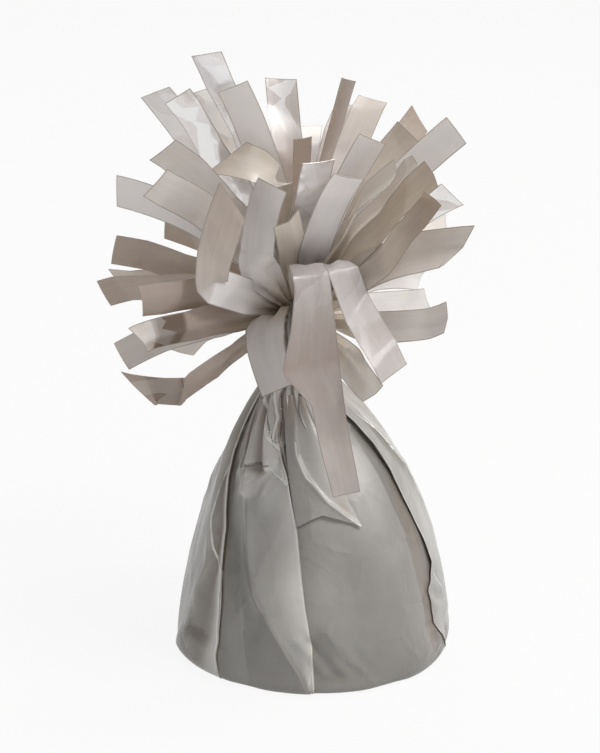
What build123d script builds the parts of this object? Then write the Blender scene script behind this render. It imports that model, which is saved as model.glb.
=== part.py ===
from build123d import *
import math
import os

# Balloon weight: a cast bell wrapped in one sheet of pearl film.  The film is gathered above the
# bell, closed with a twist tie, and its margin is slit into strips that stand out as a fringe.
# Millimetres, +Z up, the origin at the middle of the foot on the surface it stands on.
# A turn of 0 points along +X and 90 along +Y; the front of the weight faces -Y.

# Wrapped bell
BASE_RADIUS = 28.8        # widest part of the wrapped foot, between folds
FOOT_ROUND = 1.6          # height over which the foot's edge rounds under
FOOT_TUCK = 1.0           # how far the film draws in under that edge
CORE_HEIGHT = 50.0        # top of the casting above the floor
NECK_ROOM = 8.0           # film drawn in from the casting to the gathered neck
BODY_HEIGHT = CORE_HEIGHT + NECK_ROOM
NECK_RADIUS = 6.0         # film bundle at that level
NECK_LEAN = -3.0          # the neck stands this far to one side of the foot's middle
LEAN_POWER = 4.0          # the lean starts late, near the top
BELL_FULLNESS = 1.9       # a higher value stays wide further up
BELL_SHOULDER = 0.85      # a lower value makes rounder shoulders
BODY_STEPS = 10           # levels of the wrapped bell between foot and neck

# Folds of the wrap: turn at the foot, turn at the neck, how far the fold's edge stands proud
WRAP_FOLDS = (
    (20, 28, 1.0),
    (58, 58, 0.8),
    (97, 92, 1.1),
    (133, 126, 0.9),
    (170, 152, 1.0),
    (202, 176, 0.8),
    (228, 200, 1.3),
    (270, 240, 1.4),
    (305, 274, 0.5),
    (341, 312, 1.5),
)
FOLD_STEP = 3.0           # degrees from a fold's edge to the panel it lies on
FOLD_AT_ENDS = 0.35       # share of a fold's height left at the foot and at the neck
PANEL_POINTS = 3          # corners along each panel between two folds

# Cast core
FOLD_ROOM = 1.3           # film layers and air between the casting and the wrap's valleys
CORE_CLEARANCE = 0.2      # slack of the wrap around the casting
CORE_EDGE = 1.5           # rounding of the casting's two edges
WRAP_FLOOR = 0.3          # film layers under the casting

# Gathered neck and twist tie
NECK_LENGTH = 7.8         # neck from the bell up to the knot of film
KNOT_RADIUS = 6.2         # bunched film that the strips spring from
WAIST_RADIUS = 4.6        # bundle where the tie squeezes it
TIE_RISE = 3.6            # middle of the tie above the bell
TIE_WIRE_RADIUS = 0.7     # coated wire
TIE_SLACK = 0.1           # wire to bundle
TAIL_LENGTH = 12.0        # twisted pair of wire ends
TAIL_TURN = 96.0          # direction of the tail
TAIL_DROP = 20.0          # degrees that the tail points below level
TAIL_TWISTS = 2.5         # turns of the twisted pair
TAIL_STEPS = 20           # levels of the twisted pair
STRAND_CORNERS = 8        # corners of one strand's outline
FLUTES = 12               # gathers round the neck
FLUTE_DEPTH = 0.7         # groove between two gathers

# Fringe strips
FILM = 0.12               # film thickness
STRIP_WIDTH = 6.3         # cut width of a strip
ROOT_WIDTH = 0.8          # width of a strip's pinched root
ROOT_GAP = 0.3            # root to knot
SPREAD_LENGTH = 20.0      # a strip opens from its root to its full width over this length
UNFOLD_LENGTH = 14.0      # a strip's root lies in an upright pleat and turns flat over this length
PLEAT_ROLL = 90.0         # roll of a strip in an upright pleat
LONG_STEP = 9.0           # longest span between two sections of a strip
BEND_STEP = 22.0          # most degrees of bend or twist in one span
PATH_STEP = 0.5           # step along a strip's line

# Angles
QUARTER_TURN = 90.0
FULL_TURN = 360.0

# The fringe by tufts, which each swing as one.  A strip is its bearings along it, as rows of distance,
# turn, rise and roll.  Rise is above level, and past 90 it leans back.  A roll of 0 has the strip's
# width level and one of 90 has it upright.
FRINGE = {
    "right": {
        "right_high": [(0, 346, 60, 75), (46, 342, 42, 82)],
        "right_inner": [(0, 362, 68, 60), (38, 358, 50, 70)],
        "right_low": [(0, 324, 0, 70), (33, 312, 28, 60)],
    },
    "right_back": {
        "right_far": [(0, 36, 36, 80), (39, 38, 8, 84)],
        "right_corner": [(0, 51, 22, 70), (46, 51, -4, 80)],
        "right_level": [(0, 54, 8, 80), (42, 55, -24, 85)],
        "right_low_back": [(0, 44, -10, 80), (36, 50, -12, 80)],
        "back_right_high": [(0, 45, 54, 60), (44, 47, 30, 72)],
    },
    "back_right": {
        "back_right_mid": [(0, 64, 58, 10), (45, 63, 32, 16)],
        "back_right_top": [(0, 73, 56, 0), (45, 72, 30, 0)],
        "back_right_low": [(0, 74, 20, 50), (46, 76, -8, 40)],
        "back_right_droop": [(0, 66, -8, 20), (45, 66, -44, 10)],
    },
    "back": {
        "back_centre": [(0, 89, 44, 0), (46, 86, 20, 0)],
        "back_level": [(0, 94, 16, 30), (46, 96, -14, 20)],
        "back_droop": [(0, 98, -10, 10), (45, 100, -48, 0)],
    },
    "back_left": {
        "back_left_glossy": [(0, 136, 62, 130), (45, 135, 42, 130)],
        "back_left_low": [(0, 118, 20, 60), (45, 117, -10, 60)],
        "back_left_droop": [(0, 126, -14, 40), (45, 124, -40, 30)],
        "left_dark": [(0, 133, 20, 80), (38, 130, 2, 90)],
    },
    "left_back": {
        "left_high": [(0, 156, 60, 100), (48, 149, 42, 100)],
        "left_point": [(0, 146, 49, 100), (38, 147, 32, 100)],
        "left_dusky": [(0, 150, 14, 85), (40, 148, 0, 95)],
        "left_corner": [(0, 142, 4, 85), (45, 141, -14, 60)],
    },
    "left": {
        "left_level": [(0, 167, 50, 85), (20, 166, 28, 90), (40, 166, 8, 95)],
        "left_far": [(0, 160, 12, 80), (39, 155, -20, 70)],
        "left_low_back": [(0, 160, -10, 80), (38, 150, -34, 88)],
        "left_top": [(0, 174, 66, 74), (45, 176, 56, 74)],
    },
    "left_front": {
        "left_broad": [(0, 206, 62, 50), (42, 204, 40, 60)],
        "left_broad_low": [(0, 219, 54, 55), (43, 217, 32, 65)],
        "left_mid": [(0, 225, 27, 80), (39, 227, 4, 85)],
        "left_curled": [(0, 228, 14, 85), (33, 228, 2, 88), (39, 224, -6, 84)],
        "left_lowest": [(0, 232, -2, 70), (28, 226, -26, 70), (31, 195, 14, 80), (39, 180, 26, 70)],
    },
    "front_left": {
        "front_left_folded": [
            (0, 237, 26, 85),
            (25, 232, 26, 85),
            (28, 228, 100, 70),
            (43, 208, 116, 60),
        ],
        "front_left_panel": [
            (0, 244, 38, 50),
            (15, 241, 44, 50),
            (20, 220, 92, 20),
            (34, 206, 118, 20),
        ],
        "front_left_droop": [
            (0, 246, 20, 0),
            (7, 242, 6, 0),
            (12, 262, -56, 5),
            (17, 316, -68, 58),
            (24, 326, -67, 67),
        ],
    },
    "front": {
        "front_narrow": [(0, 263, 57, 30), (25, 266, 50, 40)],
        "front_glint": [(0, 274, 69, 10), (37, 288, 50, 5)],
        "front_mauve": [(0, 287, 60, -4), (43, 288, 38, -8)],
    },
    "front_hanging": {
        "front_hanging": [
            (0, 274, 44, 0),
            (14, 276, 47, 0),
            (19, 280, -10, 0),
            (23, 288, -66, 5),
            (33, 308, -78, 15),
            (65, 322, -75, 20),
        ],
    },
    "front_right": {
        "front_curl": [
            (0, 298, 48, 0),
            (11, 298, 50, 0),
            (16, 300, 0, 0),
            (20, 304, -52, 0),
            (41, 318, -48, 20),
        ],
        "front_cream": [(0, 309, 60, 40), (40, 308, 42, 50)],
        "front_pink": [(0, 315, 71, -10), (41, 305, 50, -20)],
        "front_low": [(0, 306, -14, 60), (23, 294, -20, 75)],
    },
    "right_front": {
        "right_dark": [(0, 316, 30, 60), (42, 314, 58, 70)],
        "right_folded": [(0, 326, 40, 60), (37, 328, 15, 62)],
        "front_brown": [(0, 326, 58, 40), (41, 316, 44, 40)],
        "front_tan": [(0, 335, 50, 50), (38, 330, 48, 60)],
    },
    "crown": {
        "top_dark": [(0, 332, 82, 15), (46, 316, 69, 10)],
        "front_dark": [(0, 272, 82, 60), (36, 276, 62, 50)],
        "left_tallest": [(0, 150, 76, 90), (50, 150, 56, 95)],
        "back_tall": [(0, 100, 72, 0), (43, 100, 52, 0)],
        "crown_pale": [(0, 191, 82, 72), (44, 193, 65, 72)],
        "crown_tan": [(0, 231, 77, 30), (23, 232, 78, 30), (26, 194, 40, -40), (36, 180, 8, -80)],
    },
}


def bell_radius(height):
    """Radius of the wrapped bell between its folds."""
    share = height / BODY_HEIGHT
    return NECK_RADIUS + (BASE_RADIUS - NECK_RADIUS) * (1 - share**BELL_FULLNESS) ** BELL_SHOULDER


def lean(height):
    """Sideways place of the bell's middle at a height."""
    return NECK_LEAN * (height / BODY_HEIGHT) ** LEAN_POWER


def ring(points):
    """Closed outline through points."""
    return Wire.make_polygon([Vector(*point) for point in points], close=True)


def wrap_outline(height):
    """Outline of the wrap at one height: each panel climbs to a fold's edge and steps down past it."""
    share = height / BODY_HEIGHT
    radius = bell_radius(height)
    if height < FOOT_ROUND:
        radius -= FOOT_TUCK
    fold_share = FOLD_AT_ENDS + (1 - FOLD_AT_ENDS) * math.sin(math.pi * share)
    edges = [foot + (neck - foot) * share for foot, neck, proud in WRAP_FOLDS]
    points = []
    for index, (foot, neck, proud) in enumerate(WRAP_FOLDS):
        following = (index + 1) % len(WRAP_FOLDS)
        next_proud = WRAP_FOLDS[following][2]
        start = edges[index] + FOLD_STEP
        span = (edges[following] - start) % FULL_TURN
        corners = [(edges[index], proud)]
        for step in range(PANEL_POINTS):
            along = step / PANEL_POINTS
            corners.append((start + span * along, next_proud * along**2))
        for turn, rise in corners:
            reach = radius + rise * fold_share
            angle = math.radians(turn)
            points.append((lean(height) + reach * math.cos(angle), reach * math.sin(angle), height))
    return ring(points)


def casting(clearance):
    """Bell of the cast core, grown by a clearance on its side and top."""
    top = CORE_HEIGHT + clearance
    levels = [WRAP_FLOOR + (top - WRAP_FLOOR) * step / BODY_STEPS for step in range(BODY_STEPS + 1)]
    side = [(bell_radius(z) - FOLD_ROOM - abs(lean(z)) + clearance, z) for z in levels]
    outline = Wire(
        [
            Edge.make_line((0, 0, WRAP_FLOOR), (side[0][0], 0, WRAP_FLOOR)),
            Edge.make_spline([Vector(radius, 0, z) for radius, z in side]),
            Edge.make_line((side[-1][0], 0, top), (0, 0, top)),
            Edge.make_line((0, 0, top), (0, 0, WRAP_FLOOR)),
        ]
    )
    bell = revolve(Face(outline), axis=Axis.Z)
    rims = bell.edges().filter_by(GeomType.CIRCLE)
    return fillet(rims, CORE_EDGE)


def film_wrap():
    """Film round the casting, from its floor up to the neck."""
    rise = (BODY_HEIGHT - FOOT_ROUND) / BODY_STEPS
    levels = [0.0] + [FOOT_ROUND + rise * step for step in range(BODY_STEPS + 1)]
    outside = Solid.make_loft([wrap_outline(level) for level in levels], ruled=True)
    return outside - casting(CORE_CLEARANCE)


def knot_centre():
    """Middle of the bunched film, which every strip springs from and every tuft swings about."""
    return Vector(NECK_LEAN, 0, BODY_HEIGHT + NECK_LENGTH + KNOT_RADIUS)


def fluted_ring(radius, height):
    """Outline of the gathered neck at one height."""
    points = []
    for corner in range(2 * FLUTES):
        reach = radius - (FLUTE_DEPTH if corner % 2 else 0)
        angle = math.pi * corner / FLUTES
        points.append((NECK_LEAN + reach * math.cos(angle), reach * math.sin(angle), height))
    return ring(points)


def gathered_neck():
    """Fluted bundle from the bell through the tie up into the knot."""
    tie = BODY_HEIGHT + TIE_RISE
    knot = knot_centre()
    band = 2 * TIE_WIRE_RADIUS
    sections = [
        fluted_ring(NECK_RADIUS, BODY_HEIGHT),
        fluted_ring(WAIST_RADIUS, tie - band),
        fluted_ring(WAIST_RADIUS, tie + band),
        fluted_ring(KNOT_RADIUS, knot.Z - KNOT_RADIUS / 2),
        fluted_ring(WAIST_RADIUS, knot.Z),
    ]
    stem = Solid.make_loft(sections, ruled=True)
    within = Pos(NECK_LEAN, 0, BODY_HEIGHT) * Cylinder(
        KNOT_RADIUS, knot.Z - BODY_HEIGHT, align=(Align.CENTER, Align.CENTER, Align.MIN)
    )
    bunch = Pos(knot) * Sphere(KNOT_RADIUS)
    return (stem & within) + bunch


def twist_tie():
    """Coated wire round the waist with its two ends twisted into a tail."""
    loop_radius = WAIST_RADIUS + TIE_SLACK + TIE_WIRE_RADIUS
    middle = Vector(NECK_LEAN, 0, BODY_HEIGHT + TIE_RISE)
    loop = Pos(middle) * Torus(loop_radius, TIE_WIRE_RADIUS)
    outward = heading(TAIL_TURN, -TAIL_DROP)
    level = heading(TAIL_TURN, 0)
    side = heading(TAIL_TURN + QUARTER_TURN, 0)
    upward = outward.cross(side)
    start = middle + level * loop_radius
    sections = []
    for step in range(TAIL_STEPS + 1):
        along = step / TAIL_STEPS
        spin = 2 * math.pi * TAIL_TWISTS * along
        centre = start + outward * (TAIL_LENGTH * along)
        points = []
        for corner in range(2 * STRAND_CORNERS):
            angle = math.pi * corner / STRAND_CORNERS
            reach = TIE_WIRE_RADIUS * (1 + abs(math.cos(angle)))
            points.append(
                centre + side * (reach * math.cos(angle + spin)) + upward * (reach * math.sin(angle + spin))
            )
        sections.append(Wire.make_polygon(points, close=True))
    tail = Solid.make_loft(sections, ruled=True)
    return loop + tail


def heading(turn, rise):
    """Unit vector at a turn round +Z and a rise above level."""
    around = math.radians(turn)
    above = math.radians(rise)
    level = math.cos(above)
    return Vector(level * math.cos(around), level * math.sin(around), math.sin(above))


def bearing(rows, distance):
    """Turn, rise and roll at a distance along a strip."""
    for (start, *before), (end, *after) in zip(rows, rows[1:]):
        if distance <= end:
            share = (distance - start) / (end - start)
            return [a + (b - a) * share for a, b in zip(before, after)]
    return list(rows[-1][1:])


def strip_stops(rows):
    """Distances of a strip's sections, closer together where it bends or twists."""
    length = rows[-1][0]
    breaks = sorted({row[0] for row in rows} | {UNFOLD_LENGTH, SPREAD_LENGTH})
    breaks = [distance for distance in breaks if distance <= length]
    stops = [0.0]
    for start, end in zip(breaks, breaks[1:]):
        bend = max(abs(a - b) for a, b in zip(bearing(rows, start), bearing(rows, end)))
        if end <= UNFOLD_LENGTH:
            bend += PLEAT_ROLL * (end - start) / UNFOLD_LENGTH
        spans = max(1, math.ceil((end - start) / LONG_STEP), math.ceil(bend / BEND_STEP))
        stops += [start + (end - start) * span / spans for span in range(1, spans + 1)]
    return stops


def strip_section(rows, distance, point):
    """Thin rectangle across a strip."""
    turn, rise, roll = bearing(rows, distance)
    first_roll = rows[0][3]
    pleat = math.copysign(PLEAT_ROLL, first_roll or PLEAT_ROLL)
    roll += (pleat - first_roll) * max(0.0, 1 - distance / UNFOLD_LENGTH)
    along = heading(turn, rise)
    level = heading(turn + QUARTER_TURN, 0)
    upright = along.cross(level)
    angle = math.radians(roll)
    across = level * math.cos(angle) + upright * math.sin(angle)
    normal = along.cross(across)
    width = ROOT_WIDTH + (STRIP_WIDTH - ROOT_WIDTH) * min(1.0, distance / SPREAD_LENGTH)
    half = across * (width / 2)
    skin = normal * (FILM / 2)
    corners = [point - half - skin, point + half - skin, point + half + skin, point - half + skin]
    return Wire.make_polygon(corners, close=True)


def strip(rows):
    """One strip of the fringe, a thin band along its bearings from the knot to its tip."""
    turn, rise, _ = bearing(rows, 0)
    point = knot_centre() + heading(turn, rise) * (KNOT_RADIUS + ROOT_GAP)
    stops = strip_stops(rows)
    sections = [strip_section(rows, 0, point)]
    for start, end in zip(stops, stops[1:]):
        steps = math.ceil((end - start) / PATH_STEP)
        step = (end - start) / steps
        for index in range(steps):
            turn, rise, _ = bearing(rows, start + (index + 0.5) * step)
            point += heading(turn, rise) * step
        sections.append(strip_section(rows, end, point))
    return Solid.make_loft(sections, ruled=True)


os.makedirs("parts", exist_ok=True)
pieces = {
    "weight_core": casting(0),
    "film_wrap": film_wrap(),
    "gathered_neck": gathered_neck(),
    "twist_tie": twist_tie(),
}
for tuft in FRINGE.values():
    for name, rows in tuft.items():
        pieces[f"strip_{name}"] = strip(rows)
for name, piece in pieces.items():
    export_step(piece, f"parts/{name}.step")
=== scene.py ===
"""Looks of a balloon weight: pearl film wrapped round a cast bell, tied, and slit into a fringe."""

import logging
import math
from collections.abc import Callable, Mapping, Sequence
from dataclasses import dataclass
from enum import Enum

import bpy
import numpy as np
from mathutils import Euler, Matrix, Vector, noise


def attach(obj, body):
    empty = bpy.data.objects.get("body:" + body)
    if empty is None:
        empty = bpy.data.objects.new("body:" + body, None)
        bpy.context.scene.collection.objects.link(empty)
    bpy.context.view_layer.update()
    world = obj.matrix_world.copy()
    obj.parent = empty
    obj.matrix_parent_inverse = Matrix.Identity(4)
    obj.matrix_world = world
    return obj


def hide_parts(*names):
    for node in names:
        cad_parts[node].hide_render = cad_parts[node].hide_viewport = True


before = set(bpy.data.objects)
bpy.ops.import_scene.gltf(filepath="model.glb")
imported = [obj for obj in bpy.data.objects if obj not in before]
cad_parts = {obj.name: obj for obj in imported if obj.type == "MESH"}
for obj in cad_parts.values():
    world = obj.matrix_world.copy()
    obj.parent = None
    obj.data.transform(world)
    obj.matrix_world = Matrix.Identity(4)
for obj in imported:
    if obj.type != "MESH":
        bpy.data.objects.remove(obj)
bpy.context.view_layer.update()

LOG = logging.getLogger("balloon_weight")

MM = 0.001
FULL_TURN = 360.0
QUARTER_TURN = 90.0
SHARP_EDGE = 50.0
SEED_STEP = 1.7
WHITE = (1.0, 1.0, 1.0, 1.0)
ROOT_BODY = "wrapped_weight"

Row = tuple[float, float, float, float]
Knots = tuple[tuple[float, float], ...]
Looks = dict[str, np.ndarray]
Colour = tuple[float, float, float]
Pair = tuple[float, float]


# Small sums

def smooth(low: float, high: float, at: np.ndarray | float) -> np.ndarray:
    """Smooth step from 0 at low to 1 at high."""
    share = np.clip((np.asarray(at, float) - low) / (high - low), 0.0, 1.0)
    return share * share * (3 - 2 * share)


def triangle(phase: np.ndarray) -> np.ndarray:
    """Triangle wave of period 1 between -1 and 1."""
    return 4 * np.abs(phase - np.floor(phase + 0.5)) - 1


def along_knots(knots: Knots, at: np.ndarray | float) -> np.ndarray:
    """Value between hand-set knots of (place, value)."""
    return np.interp(at, [place for place, _ in knots], [value for _, value in knots])


def heading(turn: np.ndarray, rise: np.ndarray) -> np.ndarray:
    """Unit vectors at bearings.

    Args:
        turn: Turns round +Z, in degrees.
        rise: Rises above level, in degrees.

    Returns:
        The vectors, along the last axis.
    """
    around, above = np.radians(turn), np.radians(rise)
    level = np.cos(above)
    return np.stack([level * np.cos(around), level * np.sin(around), np.sin(above)], -1)


# Node graphs

def math_method(operation: str, about: str) -> Callable[..., "Wire"]:
    """Makes a method of Wire that adds one Math node.

    Args:
        operation: Blender's name of the operation.
        about: What the method gives, for its docstring.

    Returns:
        The method, which takes the terms that follow the wire itself.
    """
    def method(wire: "Wire", *terms: "Wire | float") -> "Wire":
        """Adds the node."""
        return wire.graph.wire("ShaderNodeMath", dict(enumerate((wire, *terms))), operation=operation)

    method.__doc__ = about
    return method


class Wire:
    """What one socket of a node graph gives; arithmetic on it adds Math nodes."""

    def __init__(self, graph: "Graph", socket: bpy.types.NodeSocket) -> None:
        """Wraps one output socket of a graph."""
        self.graph = graph
        self.socket = socket

    __add__ = __radd__ = math_method("ADD", "Sum.")
    __sub__ = math_method("SUBTRACT", "Difference.")
    __mul__ = __rmul__ = math_method("MULTIPLY", "Product.")
    __truediv__ = math_method("DIVIDE", "Quotient.")
    least = math_method("MINIMUM", "The smaller of two.")
    floor = math_method("FLOOR", "Whole number below.")
    size = math_method("ABSOLUTE", "Value without its sign.")
    more_than = math_method("GREATER_THAN", "1 where the value is above another, and 0 elsewhere.")
    fold = math_method("PINGPONG", "Triangle wave between 0 and a period.")

    def __rsub__(self, other: float) -> "Wire":
        """Difference from a plain number."""
        return self.graph.wire("ShaderNodeMath", {0: other, 1: self}, operation="SUBTRACT")

    def ramp(self, low: float, high: float) -> "Wire":
        """Smooth step from 0 at low to 1 at high."""
        inputs = {"Value": self, "From Min": low, "From Max": high}
        return self.graph.wire("ShaderNodeMapRange", inputs, interpolation_type="SMOOTHSTEP")


Inputs = Mapping[str | int, object]


class Graph:
    """A node tree under construction."""

    def __init__(self, tree: bpy.types.NodeTree) -> None:
        """Starts on an existing tree."""
        self.tree = tree

    def node(self, kind: str, inputs: Inputs | None = None, **settings: object) -> bpy.types.Node:
        """Adds a node.

        Args:
            kind: Blender's type name of the node.
            inputs: Wires or plain values of its sockets, by name or place.
            **settings: Properties of the node, which are set first.  Stops are a ramp's, as (place, colour)
                pairs.

        Returns:
            The new node.
        """
        made = self.tree.nodes.new(kind)
        for name, setting in settings.items():
            if name == "stops":
                self._set_stops(made.color_ramp, setting)
            else:
                setattr(made, name, setting)
        for key, given in (inputs or {}).items():
            if isinstance(given, Wire):
                self.tree.links.new(given.socket, made.inputs[key])
            else:
                made.inputs[key].default_value = given
        return made

    @staticmethod
    def _set_stops(ramp: bpy.types.ColorRamp, stops: Sequence[tuple[float, Colour]]) -> None:
        """Gives a colour ramp its stops.

        Args:
            ramp: The ramp.
            stops: Places from 0 to 1, each with its colour.
        """
        while len(ramp.elements) < len(stops):
            ramp.elements.new(1.0)
        for element, (place, colour) in zip(ramp.elements, stops):
            element.position = place
            element.color = (*colour, 1.0)

    def wire(
        self, kind: str, inputs: Inputs | None = None, output: str | int = 0, **settings: object
    ) -> Wire:
        """Adds a node in the same way and gives one of its outputs."""
        return Wire(self, self.node(kind, inputs, **settings).outputs[output])

    def attribute(self, name: str) -> Wire:
        """A number stored on the mesh, in a material."""
        return self.wire("ShaderNodeAttribute", None, "Fac", attribute_name=name)

    def combine(self, *parts: Wire | float) -> Wire:
        """A vector of three numbers."""
        return self.wire("ShaderNodeCombineXYZ", dict(enumerate(parts)))

    def scaled(self, vector: Wire, amount: Wire) -> Wire:
        """A vector times a number."""
        return self.wire("ShaderNodeVectorMath", {"Vector": vector, "Scale": amount}, operation="SCALE")

    def noise(self, vector: Wire, scale: Wire | float, detail: float = 2.0, rough: float = 0.5) -> Wire:
        """Soft noise about 0.5.

        Args:
            vector: Where it is read.
            scale: Lumps per unit of the vector.
            detail: Octaves.
            rough: Strength of the finer octaves.

        Returns:
            The noise.
        """
        inputs = {"Vector": vector, "Scale": scale, "Detail": detail, "Roughness": rough}
        return self.wire("ShaderNodeTexNoise", inputs)

    def facets(self, vector: Wire) -> Wire:
        """A random number from 0 to 1 for each flat facet of crumpled film, about one unit across."""
        cells = self.wire("ShaderNodeTexVoronoi", {"Vector": vector, "Scale": 1.0}, "Color", feature="F1")
        return self.wire("ShaderNodeSeparateColor", {"Color": cells}, "Red")

    def mix(self, factor: Wire | float, first: object, second: object, blend: str = "MIX") -> Wire:
        """Mixes two colours.

        Args:
            factor: Share of the second.
            first: Colour or wire.
            second: Colour or wire.
            blend: Blender's name of the blend.

        Returns:
            The mixed colour.
        """
        colours = [(*given, 1.0) if isinstance(given, tuple) else given for given in (first, second)]
        inputs = {0: factor, 6: colours[0], 7: colours[1]}
        return self.wire("ShaderNodeMix", inputs, 2, data_type="RGBA", blend_type=blend)

    def bump(self, strength: float, depth: float, height: Wire) -> Wire:
        """Normals of a surface that stands off by a height times a depth in metres."""
        return self.wire("ShaderNodeBump", {"Strength": strength, "Distance": depth, "Height": height})


# Finishes

@dataclass(frozen=True)
class Finish:
    """A finish by name, from which a material is made."""

    name: str

    def material(self) -> bpy.types.Material:
        """Makes the material.

        Returns:
            The new material.
        """
        material = bpy.data.materials.new(self.name)
        material.use_nodes = True
        material.node_tree.nodes.clear()
        graph = Graph(material.node_tree)
        graph.node("ShaderNodeOutputMaterial", {"Surface": self.surface(graph)})
        return material

    def surface(self, graph: Graph) -> Wire:
        """One Principled shader with this finish's looks."""
        place = graph.wire("ShaderNodeTexCoord", None, "Object")
        return graph.wire("ShaderNodeBsdfPrincipled", self.looks(graph, place))

    def looks(self, graph: Graph, place: Wire) -> dict[str, object]:
        """The shader's inputs by name, at places on the object."""
        raise NotImplementedError


@dataclass(frozen=True)
class FringeFilm(Finish):
    """Pearl film of the cut strips, golden towards their pinched roots.

    Scales are in lumps per metre, those of streaks and facets along the strip and across it.
    """

    # pale, dusky and deep: painted light and shade, chosen by each strip's tone
    pale: Colour = (0.90, 0.878, 0.855)
    dusky: Colour = (0.30, 0.248, 0.225)
    deep: Colour = (0.10, 0.07, 0.056)
    lilac: Colour = (0.955, 0.95, 1.0)
    tan: Colour = (1.0, 0.915, 0.815)
    # root: painted golden brown shade where the strips crowd together at their roots
    root: Colour = (0.62, 0.49, 0.36)
    cut: Colour = (0.26, 0.215, 0.195)
    # glint: painted highlight, white on the brightest facets of glossy strips
    glint: Colour = (0.96, 0.96, 0.955)
    roughness: float = 0.42
    coat: float = 0.15
    coat_roughness: float = 0.07
    glow: float = 0.35
    glow_reach: Colour = (1.0, 0.8, 0.6)
    root_length: float = 16 * MM
    cut_width: float = 0.27 * MM
    cloud_scale: float = 80.0
    streak_scales: Pair = (50.0, 900.0)
    facet_scales: Pair = (210.0, 320.0)
    facet_lean: float = 150.0
    crumple_scale: float = 300.0
    fine_scale: float = 900.0
    strip_step: float = 3.7
    bump_strength: float = 0.22
    bump_depth: float = 0.3 * MM

    def looks(self, graph: Graph, place: Wire) -> dict[str, object]:
        """The shader's inputs, from the strips' own attributes.

        Args:
            graph: The material's graph.
            place: Object coordinates.

        Returns:
            Values and wires by the name of the shader's input.
        """
        names = ("tone", "warm", "gloss", "reach", "tip", "half", "across_place")
        tone, warm, gloss, reach, tip, half, across = (graph.attribute(name) for name in names)
        own = graph.attribute("strip") * self.strip_step
        cloud = graph.noise(place, self.cloud_scale, 3.0)
        long, wide = self.streak_scales
        streak = graph.noise(graph.combine(reach * long, across * wide, own), 1.0, 2.0)
        long, wide = self.facet_scales
        leaning = reach * long + across * self.facet_lean
        facet = graph.facets(graph.combine(leaning, across * wide, own + cloud * 0.5))
        # Painted light and shade: the strip's tone, with crumpled facets painted lighter and darker as if
        # lit at different angles
        shade = tone + (cloud - 0.5) * 0.3 + (streak - 0.5) * 0.16 + (facet - 0.5) * (gloss * 0.5 + 0.05)
        colour = graph.mix(shade.ramp(-0.1, 1.1), self.dusky, self.pale)
        # Painted deep brown shade where the tone falls below 0
        colour = graph.mix(1 - shade.ramp(-0.9, -0.1), colour, self.deep)
        tint = graph.mix(warm + (cloud - 0.5) * 0.5, self.lilac, self.tan)
        colour = graph.mix(1.0, colour, tint, "MULTIPLY")
        # Painted golden brown shade towards the roots, where the strips crowd together
        gathered = (1 - reach.ramp(0.0, self.root_length)) * (0.35 + streak * 0.7)
        colour = graph.mix(gathered, colour, self.root)
        # Painted white glints on the glossy strips' brightest facets
        colour = graph.mix(facet.ramp(0.48, 0.56) * gloss, colour, self.glint)
        rim = (half - across.size()).least(tip)
        edge = 1 - rim.ramp(self.cut_width * 0.3, self.cut_width)
        fine = graph.noise(place, self.fine_scale, 4.0)
        crease = graph.noise(place, self.crumple_scale, 3.0, 0.6)
        crumple = (crease - 0.5).size() * (0.5 + gloss)
        height = crumple + fine * 0.06 + streak * 0.2 + facet * (gloss * 0.5 + 0.1)
        return {
            "Base Color": graph.mix(edge * 0.8, colour, self.cut),
            "Roughness": self.roughness + (cloud - 0.5) * 0.16 + (fine - 0.5) * 0.06 - gloss * 0.26,
            "Metallic": gloss * 0.55,
            "Coat Weight": self.coat + gloss * 0.8,
            "Coat Roughness": self.coat_roughness,
            "Subsurface Weight": self.glow,
            "Subsurface Radius": self.glow_reach,
            "Subsurface Scale": MM,
            "Normal": graph.bump(self.bump_strength, self.bump_depth, height),
        }


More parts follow.
